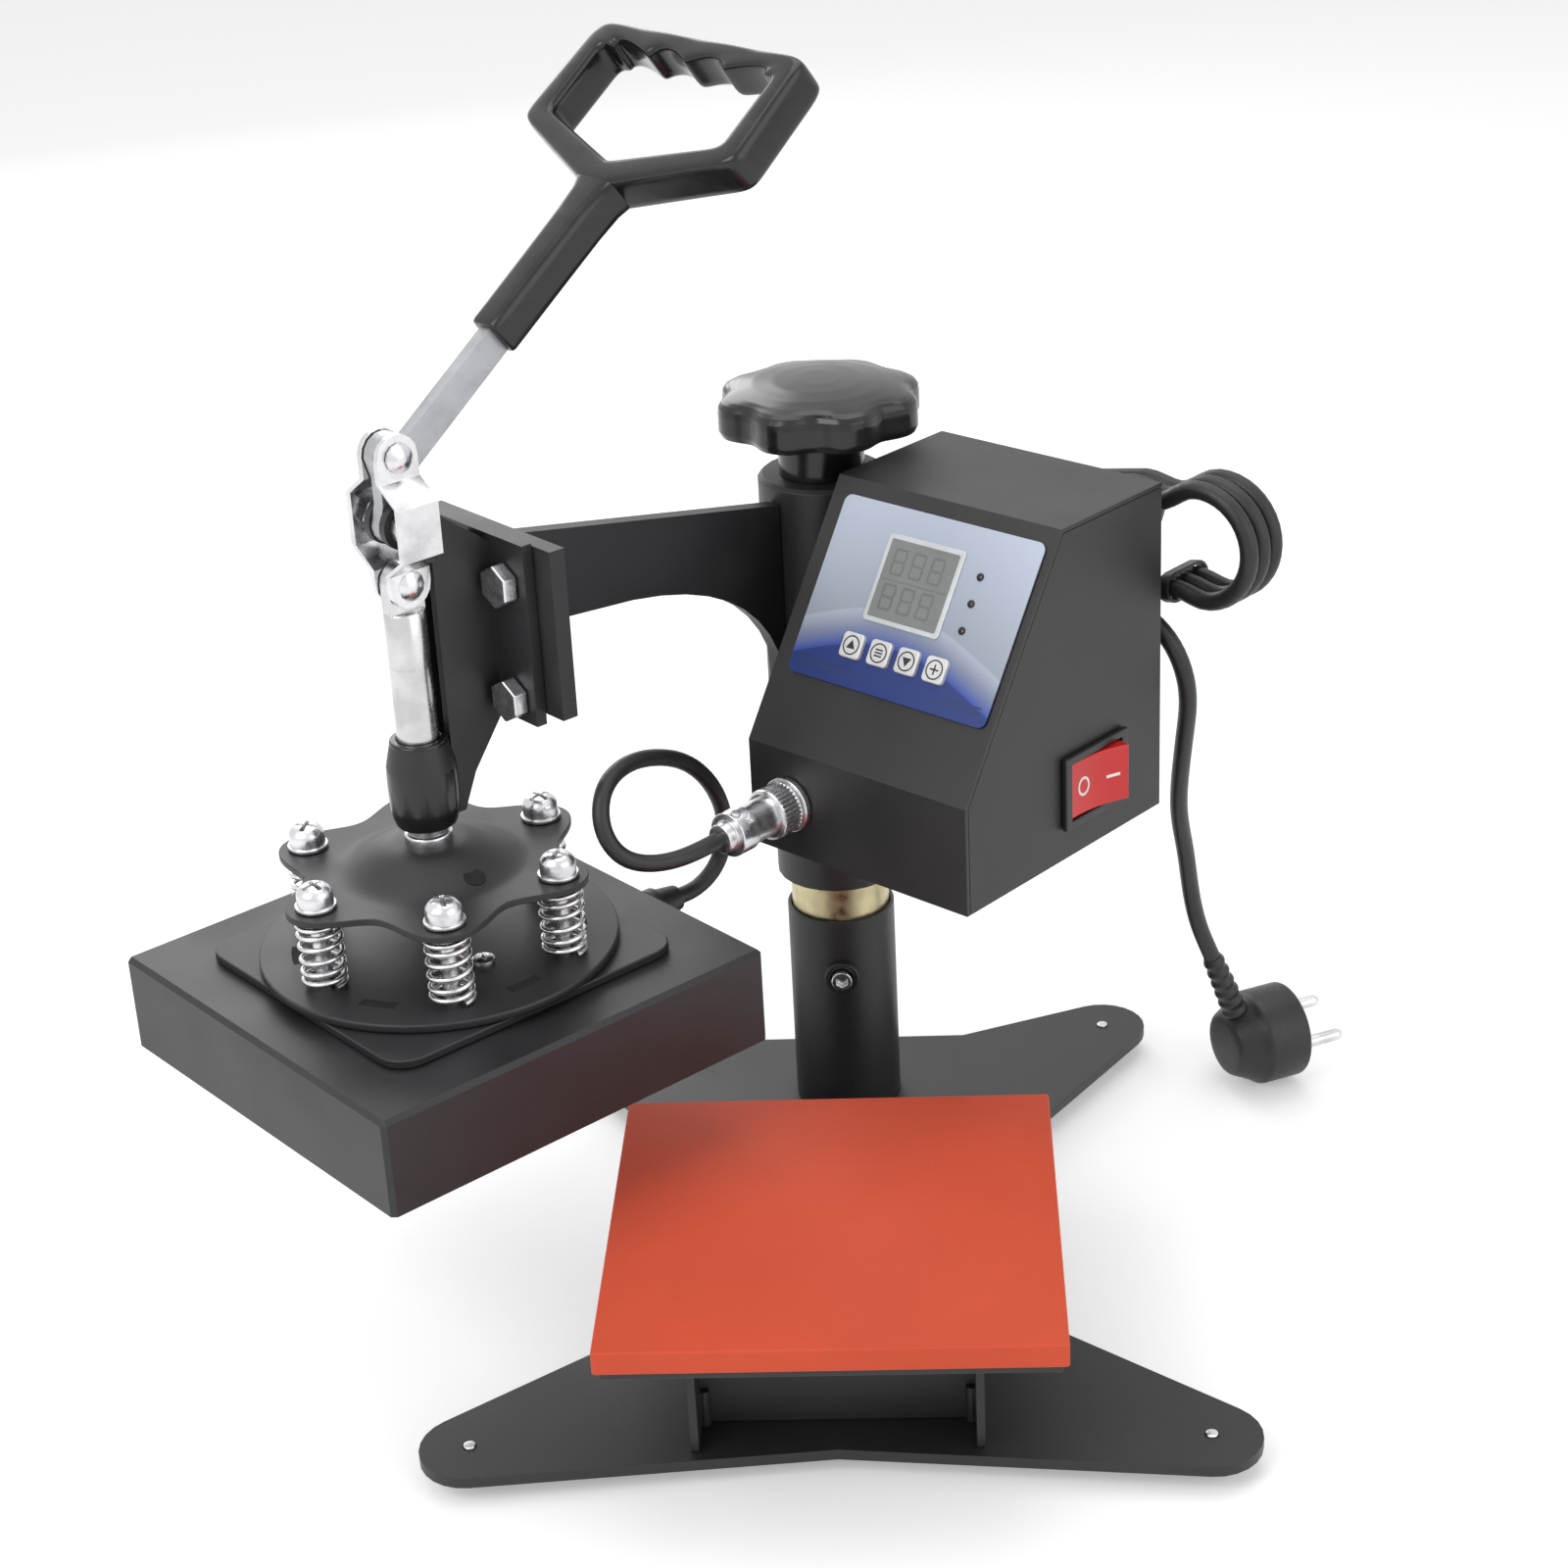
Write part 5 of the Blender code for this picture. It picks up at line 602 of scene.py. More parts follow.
def gloss(colour):
    """Moulded plastic with a polished skin and faint flow marks."""
    return worked("black_gloss_plastic", colour, 0.2, 0.0, dict(scale=420, detail=2),
                  dict(scale=60, detail=5, stretch=(1, 1, 3), Distortion=0.6),
                  tones(0.8, 1.3), ((1, -0.04), (1, 0.07)), (0.12, 0.00012), "cloud")


def silicone(colour):
    """Silicone rubber with a matt, faintly grained skin."""
    return worked("orange_silicone", colour, 0.62, 0.0, dict(scale=1400, detail=4), dict(scale=16, detail=4),
                  tones(0.93, 1.05), ((1, -0.06), (1, 0.1)), (0.4, 0.00012))


def panel_film(silver, blue):
    """Printed film on the panel's own UV map: silver above and a deep blue band below, where
    v less 0.16 sin(3.4 u) picks the colour."""
    material, tree, bsdf = shader("panel_film", silver, 0.34, 0.15)
    uv = tree.nodes.new("ShaderNodeUVMap")
    parts = tree.nodes.new("ShaderNodeSeparateXYZ")
    tree.links.new(uv.outputs["UV"], parts.inputs["Vector"])
    wide, bow, mixed = (tree.nodes.new("ShaderNodeMath") for _ in range(3))
    wide.operation, bow.operation, mixed.operation = "MULTIPLY", "SINE", "MULTIPLY_ADD"
    wide.inputs[1].default_value = 3.4
    mixed.inputs[1].default_value = -0.16
    tree.links.new(parts.outputs["X"], wide.inputs[0])
    tree.links.new(wide.outputs[0], bow.inputs[0])
    tree.links.new(bow.outputs[0], mixed.inputs[0])
    tree.links.new(parts.outputs["Y"], mixed.inputs[2])
    middle = tuple((a + b) / 2 for a, b in zip(silver, blue))
    stops = [(0.0, blue), (0.10, blue), (0.105, tuple(c * 1.9 for c in blue)), (0.2, middle), (0.30, silver),
             (0.31, tuple(c * 0.8 for c in silver)), (0.6, silver),
             (1.0, tuple(min(c * 1.25, 0.9) for c in silver))]
    tree.links.new(ramp(tree, mixed.outputs[0], stops), bsdf.inputs["Base Color"])
    bump(tree, bsdf, noise(tree, 1600, 2), 0.15, 0.00006)
    return material


FINISHES = {}
# Finishes in fixed colours: the maker and what it takes
FIXED = {
    "lever": (zinc, ("drawn_steel", (0.42, 0.43, 0.45), 0.36, (1, 1, 6), 420)),
    "rod": (zinc, ("ground_rod", (0.62, 0.62, 0.63), 0.2, (1, 1, 14), 200)),
    "spring": (zinc, ("spring_wire", (0.74, 0.74, 0.75), 0.22)),
    "yellow": (zinc, ("yellow_zinc", (0.55, 0.49, 0.30), 0.34)),
    "display": (plain, ("display_glass", (0.24, 0.25, 0.245), 0.12, 0.0, 300, (0.03, 0.0001))),
    "display_frame": (plain, ("display_frame", (0.60, 0.62, 0.64), 0.35, 0.4)),
    "segments": (plain, ("display_segments", (0.16, 0.17, 0.17), 0.3)),
    "ink": (plain, ("printed_ink", (0.012, 0.013, 0.02), 0.4)),
    "ink_blue": (plain, ("printed_blue", (0.02, 0.035, 0.12), 0.4)),
    "lamp": (plain, ("lamp_lens", (0.01, 0.01, 0.012), 0.12)),
    "button": (plain, ("button_silver", (0.72, 0.72, 0.71), 0.36, 0.25)),
    "red": (plain, ("switch_red", (0.62, 0.012, 0.012), 0.14, 0.0, 200, (0.03, 0.0001), 0.2)),
    "white": (plain, ("mark_white", (0.82, 0.80, 0.78), 0.4)),
    "matte": (plain, ("black_plastic", (0.014, 0.014, 0.015), 0.38, 0.0, 900)),
    "aluminium": (plain, ("platen_aluminium", (0.66, 0.66, 0.67), 0.4, 1.0, 380)),
    "wool": (plain, ("ceramic_wool", (0.80, 0.78, 0.72), 0.9, 0.0, 240, (0.8, 0.0006))),
    "board": (plain, ("board_green", (0.03, 0.17, 0.08), 0.45)),
    # painted shade: a near-black finish for the thin sheets that stand in for the shade inside holes and
    # slots
    "dark": (plain, ("dark_hollow", (0.004, 0.004, 0.004), 0.8)),
}


def finish(look):
    """A finish by its short name, made once from the settings."""
    if look not in FINISHES:
        looks = bpy.context.scene.press_looks
        chosen = {
            "coat": (coat, (looks.coat_colour,)),
            "gloss": (gloss, (looks.plastic_colour,)),
            "rubber": (rubber, ("black_rubber", looks.rubber_colour, 0.42)),
            "feet": (rubber, ("foot_rubber", looks.rubber_colour, 0.6)),
            "zinc": (zinc, ("bright_zinc", looks.zinc_colour, 0.24)),
            "silicone": (silicone, (looks.pad_colour,)),
            "panel": (panel_film, (looks.panel_silver, looks.panel_blue)),
        }
        maker, takes = (FIXED | chosen)[look]
        FINISHES[look] = maker(*takes)
    return FINISHES[look]


# Settings


def colour(name, description, default):
    return FloatVectorProperty(name=name, description=description, size=3, subtype="COLOR", default=default,
                               min=0, max=1)


def measure(name, description, default, low, high):
    return FloatProperty(name=name, description=description, unit="LENGTH", default=default * MM,
                         min=low * MM, max=high * MM)


class PressLooks(bpy.types.PropertyGroup):
    coat_colour: colour("Powder coat", "Colour of the coated steel", (0.017, 0.017, 0.019))
    plastic_colour: colour("Moulded plastic", "Colour of the handle and the knob", (0.010, 0.010, 0.011))
    rubber_colour: colour("Cable rubber", "Colour of the leads, the plug and the feet", (0.013, 0.013, 0.014))
    zinc_colour: colour("Zinc plating", "Colour of the plated steel", (0.70, 0.70, 0.72))
    pad_colour: colour("Silicone pad", "Colour of the pad", (0.64, 0.070, 0.022))
    panel_silver: colour("Panel silver", "Upper colour of the control panel", (0.42, 0.47, 0.56))
    panel_blue: colour("Panel blue", "Lower colour of the control panel", (0.022, 0.045, 0.20))


class PressSizes(bpy.types.PropertyGroup):
    lead_diameter: measure("Lead diameter", "Outer diameter of the mains lead", 6.6, 4, 9)
    cable_diameter: measure("Heater cable diameter", "Outer diameter of the heater cable", 6, 4, 8)
    wire_diameter: measure("Spring wire", "Diameter of the pressure springs' wire", 1.9, 1.2, 2.4)
    spring_turns: FloatProperty(name="Spring turns", description="Turns of each pressure spring", default=6.5,
                                min=4, max=9)
    knob_lobes: IntProperty(name="Knob lobes", description="Lobes round the pressure knob", default=8,
                            min=5, max=12)
    groove_depth: measure("Finger groove", "Depth of the handle's finger grooves", 4.2, 1, 6)


# Operators


class PRESS_OT_stand(bpy.types.Operator):
    """Base plate, feet, pedestal and bed plate"""
    bl_idname = "press.stand"
    bl_label = "Stand"

    def execute(self, context):
        dress_all(STAND_COPIES)
        for end in ("front_left", "front_right", "rear_left", "rear_right"):
            low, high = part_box("foot_" + end)
            centre = shift((low[0] + high[0]) / 2 / MM, (low[1] + high[1]) / 2 / MM)
            piece("foot_" + end + "_rubber", [lathe(FOOT, centre, 48)], "feet", "base", ("foot_" + end,))
            piece("foot_" + end + "_stud", [lathe(FOOT_STUD, centre, 24)], "zinc", "base")
        return {"FINISHED"}


class PRESS_OT_pad(bpy.types.Operator):
    """The silicone pad: a slab with rounded edges"""
    bl_idname = "press.pad"
    bl_label = "Silicone pad"

    def execute(self, context):
        low, high = (np.array(corner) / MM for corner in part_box("silicone_pad"))
        outline = soft_rectangle(low[0], high[0], low[1], high[1], 1.2)
        pad = piece("silicone_pad_slab", [prism(outline, low[2], high[2], np.eye(4))], "silicone", "base",
                    ("silicone_pad",), 0.9, 4)
        return {"FINISHED"}


class PRESS_OT_column(bpy.types.Operator):
    """Column tube, post, hub and their screws"""
    bl_idname = "press.column"
    bl_label = "Column"

    def execute(self, context):
        front = COLUMN @ shift(0, 0, 73) @ AGAINST_Y
        wall, boss = lathe(TUBE_WALL, COLUMN, 96, hollow=True), lathe(TUBE_BOSS, front, 32)
        piece("column_tube_wall", [wall, boss], "coat", "base", ("column_tube",))
        piece("column_post_bar", [lathe(POST, COLUMN, 96)], "yellow", "base", ("column_post",))
        dress_all(COLUMN_COPIES)
        side = COLUMN @ shift(0, 0, 254) @ turn(math.radians(-62)) @ ALONG_X
        piece("hub_set_screw", [lathe(HUB_SCREW, side, 24)], "zinc", "swing_arm")
        return {"FINISHED"}


class PRESS_OT_knob(bpy.types.Operator):
    """The lobed pressure knob and its spindle"""
    bl_idname = "press.knob"
    bl_label = "Pressure knob"

    def execute(self, context):
        """r = profile's radius - share depth ((1 + cos(lobes a)) / 2)^power, so that the flutes are
        narrower than the lobes."""
        lobes = context.scene.press_sizes.knob_lobes
        a = around(KNOB_STEPS)
        profile = np.array(KNOB, float)
        fine = np.linspace(0, len(profile) - 1, KNOB_ROWS)
        lines = np.column_stack([np.interp(fine, np.arange(len(profile)), profile[:, k]) for k in range(3)])
        flute = FLUTE_DEPTH * ((1 + np.cos(lobes * a)) / 2) ** FLUTE_POWER
        pole = 1e-3
        r = np.maximum(lines[:, :1] - lines[:, 2:] * flute, pole)
        z = lines[:, 1:2] * np.ones(KNOB_STEPS)
        points, faces = sheet(np.stack([r * np.cos(a), r * np.sin(a), z], axis=2))
        piece("pressure_knob_moulding", [(put(ARM, points), faces)], "gloss", "knob", ("pressure_knob",),
              angle=50)
        piece("knob_spindle_screw", [lathe(SPINDLE, COLUMN, 48)], "zinc", "knob", ("knob_spindle",))
        return {"FINISHED"}


class PRESS_OT_arm(bpy.types.Operator):
    """Swing arm plate, clamp frame, guide barrel and bolts"""
    bl_idname = "press.arm"
    bl_label = "Arm and clamp"

    def execute(self, context):
        dress_all(PLATE_COPIES)
        piece("guide_barrel", [lathe(BARREL, HEAD, 72, 6, hollow=True)], "gloss", "swing_arm", angle=50)
        dress_all(BOLT_COPIES)
        return {"FINISHED"}


def ray_radius(corners, angles):
    """Distance from the ring's middle to a polygon's edge along each angle: the least positive
    crossing of the ray with each side."""
    corners = np.array(corners, float) - (0, RING_MIDDLE)
    ends = np.roll(corners, -1, axis=0)
    d = np.column_stack([np.cos(angles), np.sin(angles)])[:, None]
    e = (ends - corners)[None]
    c = corners[None]
    small, slack = 1e-12, 1e-6
    det = d[..., 0] * -e[..., 1] + d[..., 1] * e[..., 0]
    det = np.where(np.abs(det) < small, small, det)
    t = (c[..., 0] * -e[..., 1] + c[..., 1] * e[..., 0]) / det
    s = (d[..., 0] * c[..., 1] - d[..., 1] * c[..., 0]) / det
    good = (t > 0) & (s > -slack) & (s < 1 + slack)
    return np.where(good, t, np.inf).min(axis=1)


def soften(values, width):
    """Values round a circle, averaged with a Gaussian of that width in samples."""
    k = np.arange(-3 * width, 3 * width + 1)
    weight = np.exp(-(k / width) ** 2 / 2)
    weight /= weight.sum()
    return np.array([np.roll(values, i) for i in k]).T @ weight


class PRESS_OT_handle(bpy.types.Operator):
    """The moulded D-handle, its neck, the lever strip and the crank pin"""
    bl_idname = "press.handle"
    bl_label = "Handle and lever"

    def execute(self, context):
        """The bar's section is a superellipse. Along the far bar the hole's edge goes out by
        depth (sqrt(sin^2 + 0.05) - 0.55), which leaves a ridge between each two fingers."""
        depth = context.scene.press_sizes.groove_depth / MM
        a = around(RING_STEPS)
        outer, inner = (soften(ray_radius(corners, a), RING_SOFT) for corners in (RING_OUTER, RING_INNER))
        x = inner * np.cos(a)
        far = np.clip((inner * np.sin(a) - 10) / 6, 0, 1) * np.clip((FINGERS_HALF - np.abs(x)) / 5, 0, 1)
        wave = np.sqrt(np.sin((x / FINGERS_HALF + 1) * TAU) ** 2 + 0.05) - 0.55
        inner = inner + far * depth * wave / np.maximum(np.sin(a), 0.35)
        w = around(BAR_STEPS)
        cx, cz = (np.sign(v) * np.abs(v) ** BAR_SQUARE for v in (np.cos(w), np.sin(w)))
        r = (outer + inner)[:, None] / 2 + (outer - inner)[:, None] / 2 * cx
        z = GRIP_RISE + BAR_HALF_DEPTH * cz * np.ones((RING_STEPS, 1))
        points = np.stack([r * np.cos(a)[:, None], RING_MIDDLE + r * np.sin(a)[:, None], z], axis=2)
        ring = sheet(points, True, True, False)
        y, half_x, half_z = (column[:, None] for column in np.array(NECK).T)
        neck = sheet(np.stack([half_x * cx, y * np.ones(BAR_STEPS), GRIP_RISE + half_z * cz], axis=2))
        piece("handle_ring", [(put(HANDLE, ring[0]), ring[1])], "gloss", "lever", ("handle_grip",), angle=60)
        piece("handle_neck", [(put(HANDLE, neck[0]), neck[1])], "gloss", "lever", angle=60)
        dress_all(LEVER_COPIES)
        return {"FINISHED"}


def screw_places():
    a = around(SCREW_COUNT) - math.pi / 2
    return [(SCREW_CIRCLE * math.cos(v), SCREW_CIRCLE * math.sin(v)) for v in a]


def pan_head(x, y, spin, low, radius, height):
    """A pan head on a polar grid, with r as a share of the radius: height (1 - 0.42 r^4), less a
    cross recess half as deep, whose arms are where |u| or |v| is under 0.13, fading out by r 0.66."""
    rings = np.concatenate([np.linspace(0, 0.94, 40), [0.97, 0.99, 1]])
    rr, aa = np.meshgrid(rings, around(96), indexing="ij")
    u, v = rr * np.cos(aa + spin), rr * np.sin(aa + spin)
    arm = np.minimum(np.abs(u), np.abs(v))
    cross = np.clip((0.13 - arm) / 0.05, 0, 1) * np.clip((0.66 - rr) / 0.1, 0, 1)
    top = height * (1 - 0.42 * rr ** 4) - cross * height * 0.5
    top = np.where(rr >= 1, 0, np.where(rr > 0.985, height * 0.35, top))
    reach = radius * np.maximum(rr, 1e-4)
    points, faces = sheet(np.stack([x + reach * np.cos(aa), y + reach * np.sin(aa), low + top], axis=2))
    return put(HEAD, points), faces


class PRESS_OT_head(bpy.types.Operator):
    """Heating head: cover, plates, disc, shoulder screws, platen and gland"""
    bl_idname = "press.head"
    bl_label = "Heating head"

    def execute(self, context):
        dress_all(HEAD_COPIES)
        dressed("insulation_blanket", "wool", "head", 1, 2)
        piece("mounting_disc_plate", [lathe(DISC, HEAD, 160)], "coat", "head", ("mounting_disc",))
        slots, screws, heads = [], [], []
        # Near-black sheets laid on the disc's top over its slots: painted shade of the slots, not a part of
        # the press
        for middle in around(SCREW_COUNT):
            a = np.linspace(-SLOT_HALF, SLOT_HALF, 12) + middle
            arc = np.column_stack([np.cos(a), np.sin(a)])
            slots.append(prism(np.vstack([arc * SLOT_OUTER, arc[::-1] * SLOT_INNER]), 150.2, 150.36, HEAD))
        piece("disc_slot_shade", slots, "dark", "head", smooth=False)
        for k, (x, y) in enumerate(screw_places()):
            at = HEAD @ shift(x, y)
            screws += [lathe(SHANK, at, 24), lathe(WASHER, at, 48)]
            heads.append(pan_head(x, y, 0.5 * k, **SCREW_HEAD))
        heads.append(pan_head(DISC_SCREW_X, 0, DISC_SCREW_SPIN, **DISC_SCREW))
        piece("shoulder_screws", screws, "zinc", "head")
        piece("shoulder_screw_heads", heads, "zinc", "head", angle=42)
        start = HEAD @ shift(*HEAD_GLAND_PLACE) @ ALONG_Y
        piece("head_gland_boot", [lathe(HEAD_GLAND, start, 40)], "rubber", "head", ("head_gland",))
        return {"FINISHED"}


class PRESS_OT_plunger(bpy.types.Operator):
    """The guided rod, the spider plate with its dome, and the six springs"""
    bl_idname = "press.plunger"
    bl_label = "Plunger and springs"

    def execute(self, context):
        dressed("plunger_rod", "rod", "plunger", 0.4, 2, 40)
        piece("rod_skin", [turned(ROD_SKIN, HEAD, 64)], "rod", "plunger")
        piece("rod_collar", [lathe(ROD_COLLAR, HEAD, 48)], "zinc", "plunger")
        self.spider()
        # A thin near-black disc on the dome where the sight hole is: painted shade of the hole
        hole = HEAD @ shift(*SIGHT_PLACE) @ turn(SIGHT_LEAN, "Y")
        piece("sight_hole_shade", [lathe(SIGHT_HOLE, hole, 40)], "dark", "plunger")
        self.springs(context.scene.press_sizes)
        return {"FINISHED"}

    def spider(self):
        """The dome's height is rise (1 + cos(pi s)) / 2 from the crown's edge to its own edge. The
        flat beyond it runs out to the rim, at radius mean - swing cos(6 a)."""
        a = around(SPIDER_STEPS)
        s = np.linspace(0, 1, DOME_ROWS)[1:]
        crown, skirt = np.linspace(3, DOME_CROWN, 4), np.linspace(36, 42, 4)
        radii = np.concatenate([[0.5], crown, DOME_CROWN + DOME_REACH * s, skirt])
        fall = DOME_RISE * (1 + np.cos(math.pi * s)) / 2
        height = np.concatenate([np.full(5, DOME_RISE), fall, np.zeros(4)])
        rim = SPIDER_MEAN - SPIDER_SWING * np.cos(SCREW_COUNT * a)
        flat = [radii[-1] + (rim - radii[-1]) * t for t in (0.4, 0.75, 1.0)]
        rows = [(r * np.ones(SPIDER_STEPS), h) for r, h in zip(radii, height)] + [(r, 0) for r in flat]
        low = np.stack([np.column_stack([r * np.cos(a), r * np.sin(a), np.full(len(a), SPIDER_BASE + h)])
                        for r, h in rows])
        high = low + (0, 0, SPIDER_THICK)
        points, faces = sheet(np.concatenate([high, low[::-1]]), False, True, False)
        piece("spider_pressing", [(put(HEAD, points), faces)], "coat", "plunger", ("spider_plate",),
              0.4, 2, 50)

    def springs(self, sizes):
        """Helices whose height's share is s - 0.35 sin(tau s) / tau, so that the end turns lie closer."""
        turns = sizes.spring_turns
        wire = sizes.wire_diameter / MM / 2
        t = np.linspace(0, turns, int(turns * 28) + 1)
        share = t / turns
        share = share - SPRING_CLOSING * np.sin(TAU * share) / TAU
        coil = np.column_stack([SPRING_RADIUS * np.cos(TAU * t), SPRING_RADIUS * np.sin(TAU * t),
                                SPRING_LOW + wire + (SPRING_HIGH - SPRING_LOW - 2 * wire) * share])
        for number, (x, y) in enumerate(screw_places(), 1):
            name = f"pressure_spring_{number}"
            wound = tube(put(HEAD @ shift(x, y), coil), wire, 12)
            spring = piece(name + "_wire", [wound], "spring", "plunger", (name,), angle=60)
            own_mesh(spring)


class PRESS_OT_control_box(bpy.types.Operator):
    """The folded control box, its panel, display, lamps and buttons"""
    bl_idname = "press.control_box"
    bl_label = "Control box"

    def execute(self, context):
        dress_all(BOX_COPIES)
        self.film()
        bezel = prism(soft_rectangle(*BEZEL), FACE - 0.2, FACE + 0.7, SLOPE)
        piece("display_bezel", [bezel], "display_frame", "swing_arm", bevel=0.3)
        window = prism(soft_rectangle(*GLASS), FACE + 0.3, GLASS_TOP, SLOPE)
        piece("display_window", [window], "display", "swing_arm", bevel=0.1)
        bars = [slab(DIGIT_START + digit * DIGIT_STEP + du, DIGIT_START + digit * DIGIT_STEP + du + wide,
                     row + dv, row + dv + tall, GLASS_TOP, GLASS_TOP + PRINT, SLOPE)
                for row in DIGIT_ROWS for digit in range(3) for du, dv, wide, tall in DIGIT_BARS]
        bars.append(slab(*DIGIT_RULE, GLASS_TOP, GLASS_TOP + PRINT, SLOPE))
        piece("display_digits", bars, "segments", "swing_arm", smooth=False)
        lamps = [lathe(LAMP, SLOPE @ shift(u, v), 24) for u, v in LAMP_PLACES]
        piece("panel_lamps", lamps, "lamp", "swing_arm")
        stripes = [slab(*row, FACE, FACE + PRINT, SLOPE) for row in STRIPES]
        piece("panel_stripes", stripes, "ink_blue", "swing_arm", smooth=False)
        for number in range(1, 5):
            self.button(number, BUTTON_START + (number - 1) * BUTTON_STEP, BUTTON_V)
        return {"FINISHED"}

    def film(self):
        """The panel's film, whose UV map runs from 0 to 1 over it."""
        film = prism(soft_rectangle(*FILM), 0.35, FACE, SLOPE)
        panel = piece("control_panel_film", [film], "panel", "swing_arm", ("control_panel",), 0.2, 2)
        mesh = panel.data
        local = (np.array([v.co[:] for v in mesh.vertices]) / MM - SLOPE[:3, 3]) @ SLOPE[:3, :3]
        loops = np.empty(len(mesh.loops), dtype=np.int32)
        mesh.loops.foreach_get("vertex_index", loops)
        low_u, high_u, low_v, high_v = FILM[:4]
        flat = (local[loops][:, :2] - (low_u, low_v)) / (high_u - low_u, high_v - low_v)
        mesh.uv_layers.new(name="UVMap").data.foreach_set("uv", flat.ravel())

    def button(self, number, u, v):
        half = BUTTON_HALF
        cap = soft_rectangle(u - half, u + half, v - half, v + half, BUTTON_CORNER)
        a = around(24)
        stem = np.column_stack([u + 2 * np.cos(a), v + 2 * np.sin(a)])
        button = f"button_{number}"
        parts = [prism(cap, -2.9, BUTTON_TOP, SLOPE), prism(stem, -7.6, -1, SLOPE)]
        piece(button + "_cap", parts, "button", button, (button,), 0.5, 3)
        piece(button + "_mark", self.mark(number, u, v), "ink", button, smooth=False)

    def mark(self, number, u, v):
        """A dark ring round a plain sign: up, bars, down or a cross."""
        z, top = BUTTON_TOP, BUTTON_TOP + MARK_THICK
        a = around(40)
        ring = np.stack([np.column_stack([u + r * np.cos(a), v + r * np.sin(a), np.full(40, h)])
                         for r, h in ((3.5, z), (3.5, top), (3.0, top), (3.0, z))])
        points, faces = sheet(ring, True, True, False)
        parts = [(put(SLOPE, points), faces)]
        if number in (1, 3):
            way = 1 if number == 1 else -1
            sign = [(u - 1.9, v - 1.2 * way), (u + 1.9, v - 1.2 * way), (u, v + 1.9 * way)]
            parts.append(prism(sign[::way], z, top, SLOPE))
        elif number == 2:
            parts += [slab(u - 1.6, u + 1.6, v + k - 0.28, v + k + 0.28, z, top, SLOPE)
                      for k in (-1.1, 0, 1.1)]
        else:
            parts += [slab(u - w, u + w, v - h, v + h, z, top, SLOPE) for w, h in ((1.8, 0.3), (0.3, 1.8))]
        return parts


def key_face(y):
    """Height of the rocker's dished face: 2.6 + 1.8 |y / 13.2|^1.6."""
    return 2.6 + 1.8 * np.abs(y / KEY_HALF_WIDTH) ** 1.6


class PRESS_OT_switch(bpy.types.Operator):
    """The red rocker with its marks, in its black frame"""
    bl_idname = "press.switch"
    bl_label = "Mains switch"

    def execute(self, context):
        dressed("rocker_frame", "matte", "swing_arm", 0.6, 3)
        y = np.linspace(-KEY_HALF_WIDTH, KEY_HALF_WIDTH, 41)
        outline = np.vstack([np.column_stack([key_face(y), y]), KEY_BACK])
        piece("rocker_key", [prism(outline, -KEY_HALF_HEIGHT, KEY_HALF_HEIGHT, ROCKER)], "red", "rocker",
              ("rocker_switch",), 0.5, 3, 30)
        a, sunk = around(48), 0.02
        rows = []
        for r, lift in ((2.9, 0), (2.9, MARK_LIFT), (2.1, MARK_LIFT), (2.1, 0)):
            y = -6.6 + r * np.cos(a)
            rows.append(np.column_stack([key_face(y) - sunk + lift, y, 1.25 * r * np.sin(a)]))
        ring = sheet(np.stack(rows), True, True, False)
        y = np.linspace(4, 9.6, 12)
        bar = [np.column_stack([key_face(y) - sunk + lift, y, np.full(12, z)])
               for lift, z in ((0, -0.55), (MARK_LIFT, -0.55), (MARK_LIFT, 0.55), (0, 0.55))]
        bar = sheet(np.stack(bar), True, False, False)
        marks = [(put(ROCKER, points), faces) for points, faces in (ring, bar)]
        piece("rocker_marks", marks, "white", "rocker", smooth=False)
        return {"FINISHED"}


def hank_points():
    """Three loops of two runs and two folds, one behind another, drawn in at the waist; each
    climbs a layer along its lower run by share^2 (3 - 2 share)."""
    run, bend = 2 * HANK_HALF, math.pi * HANK_FOLD
    loop = 2 * run + 2 * bend
    mark = np.linspace(0, loop * HANK_TURNS, HANK_TURNS * HANK_MARKS + 1)
    turn_no = np.minimum(np.floor(mark / loop + 1e-9), HANK_TURNS)
    mark = mark - turn_no * loop
    right = np.clip(mark - HANK_HALF, 0, bend) / HANK_FOLD
    left = np.clip(mark - HANK_HALF - bend - run, 0, bend) / HANK_FOLD
    out = np.clip(mark, 0, HANK_HALF)
    back = np.clip(mark - HANK_HALF - bend, 0, run)
    home = np.clip(mark - (loop - HANK_HALF), 0, HANK_HALF)
    along = out + home - back + HANK_FOLD * (np.sin(right) - np.sin(left))
    across = np.where(left > 0, HANK_FOLD * np.cos(left), -HANK_FOLD * np.cos(right))
    near = np.clip(1 - np.abs(along - HANK_WAIST) / HANK_WAIST_REACH, 0, 1)
    across = across * (1 - HANK_DRAWN / HANK_FOLD * near * near * (3 - 2 * near))
    share = back / run
    layer = turn_no + share * share * (3 - 2 * share)
    rear = BOX_CORNER[1] + BOX_DEPTH + HANK_GAP + HANK_TURNS * HANK_LAYER
    c, s = math.cos(HANK_TILT), math.sin(HANK_TILT)
    return np.column_stack([HANK_CENTRE[0] + along * c - across * s, rear - HANK_LAYER * layer,
                            HANK_CENTRE[1] + along * s + across * c])


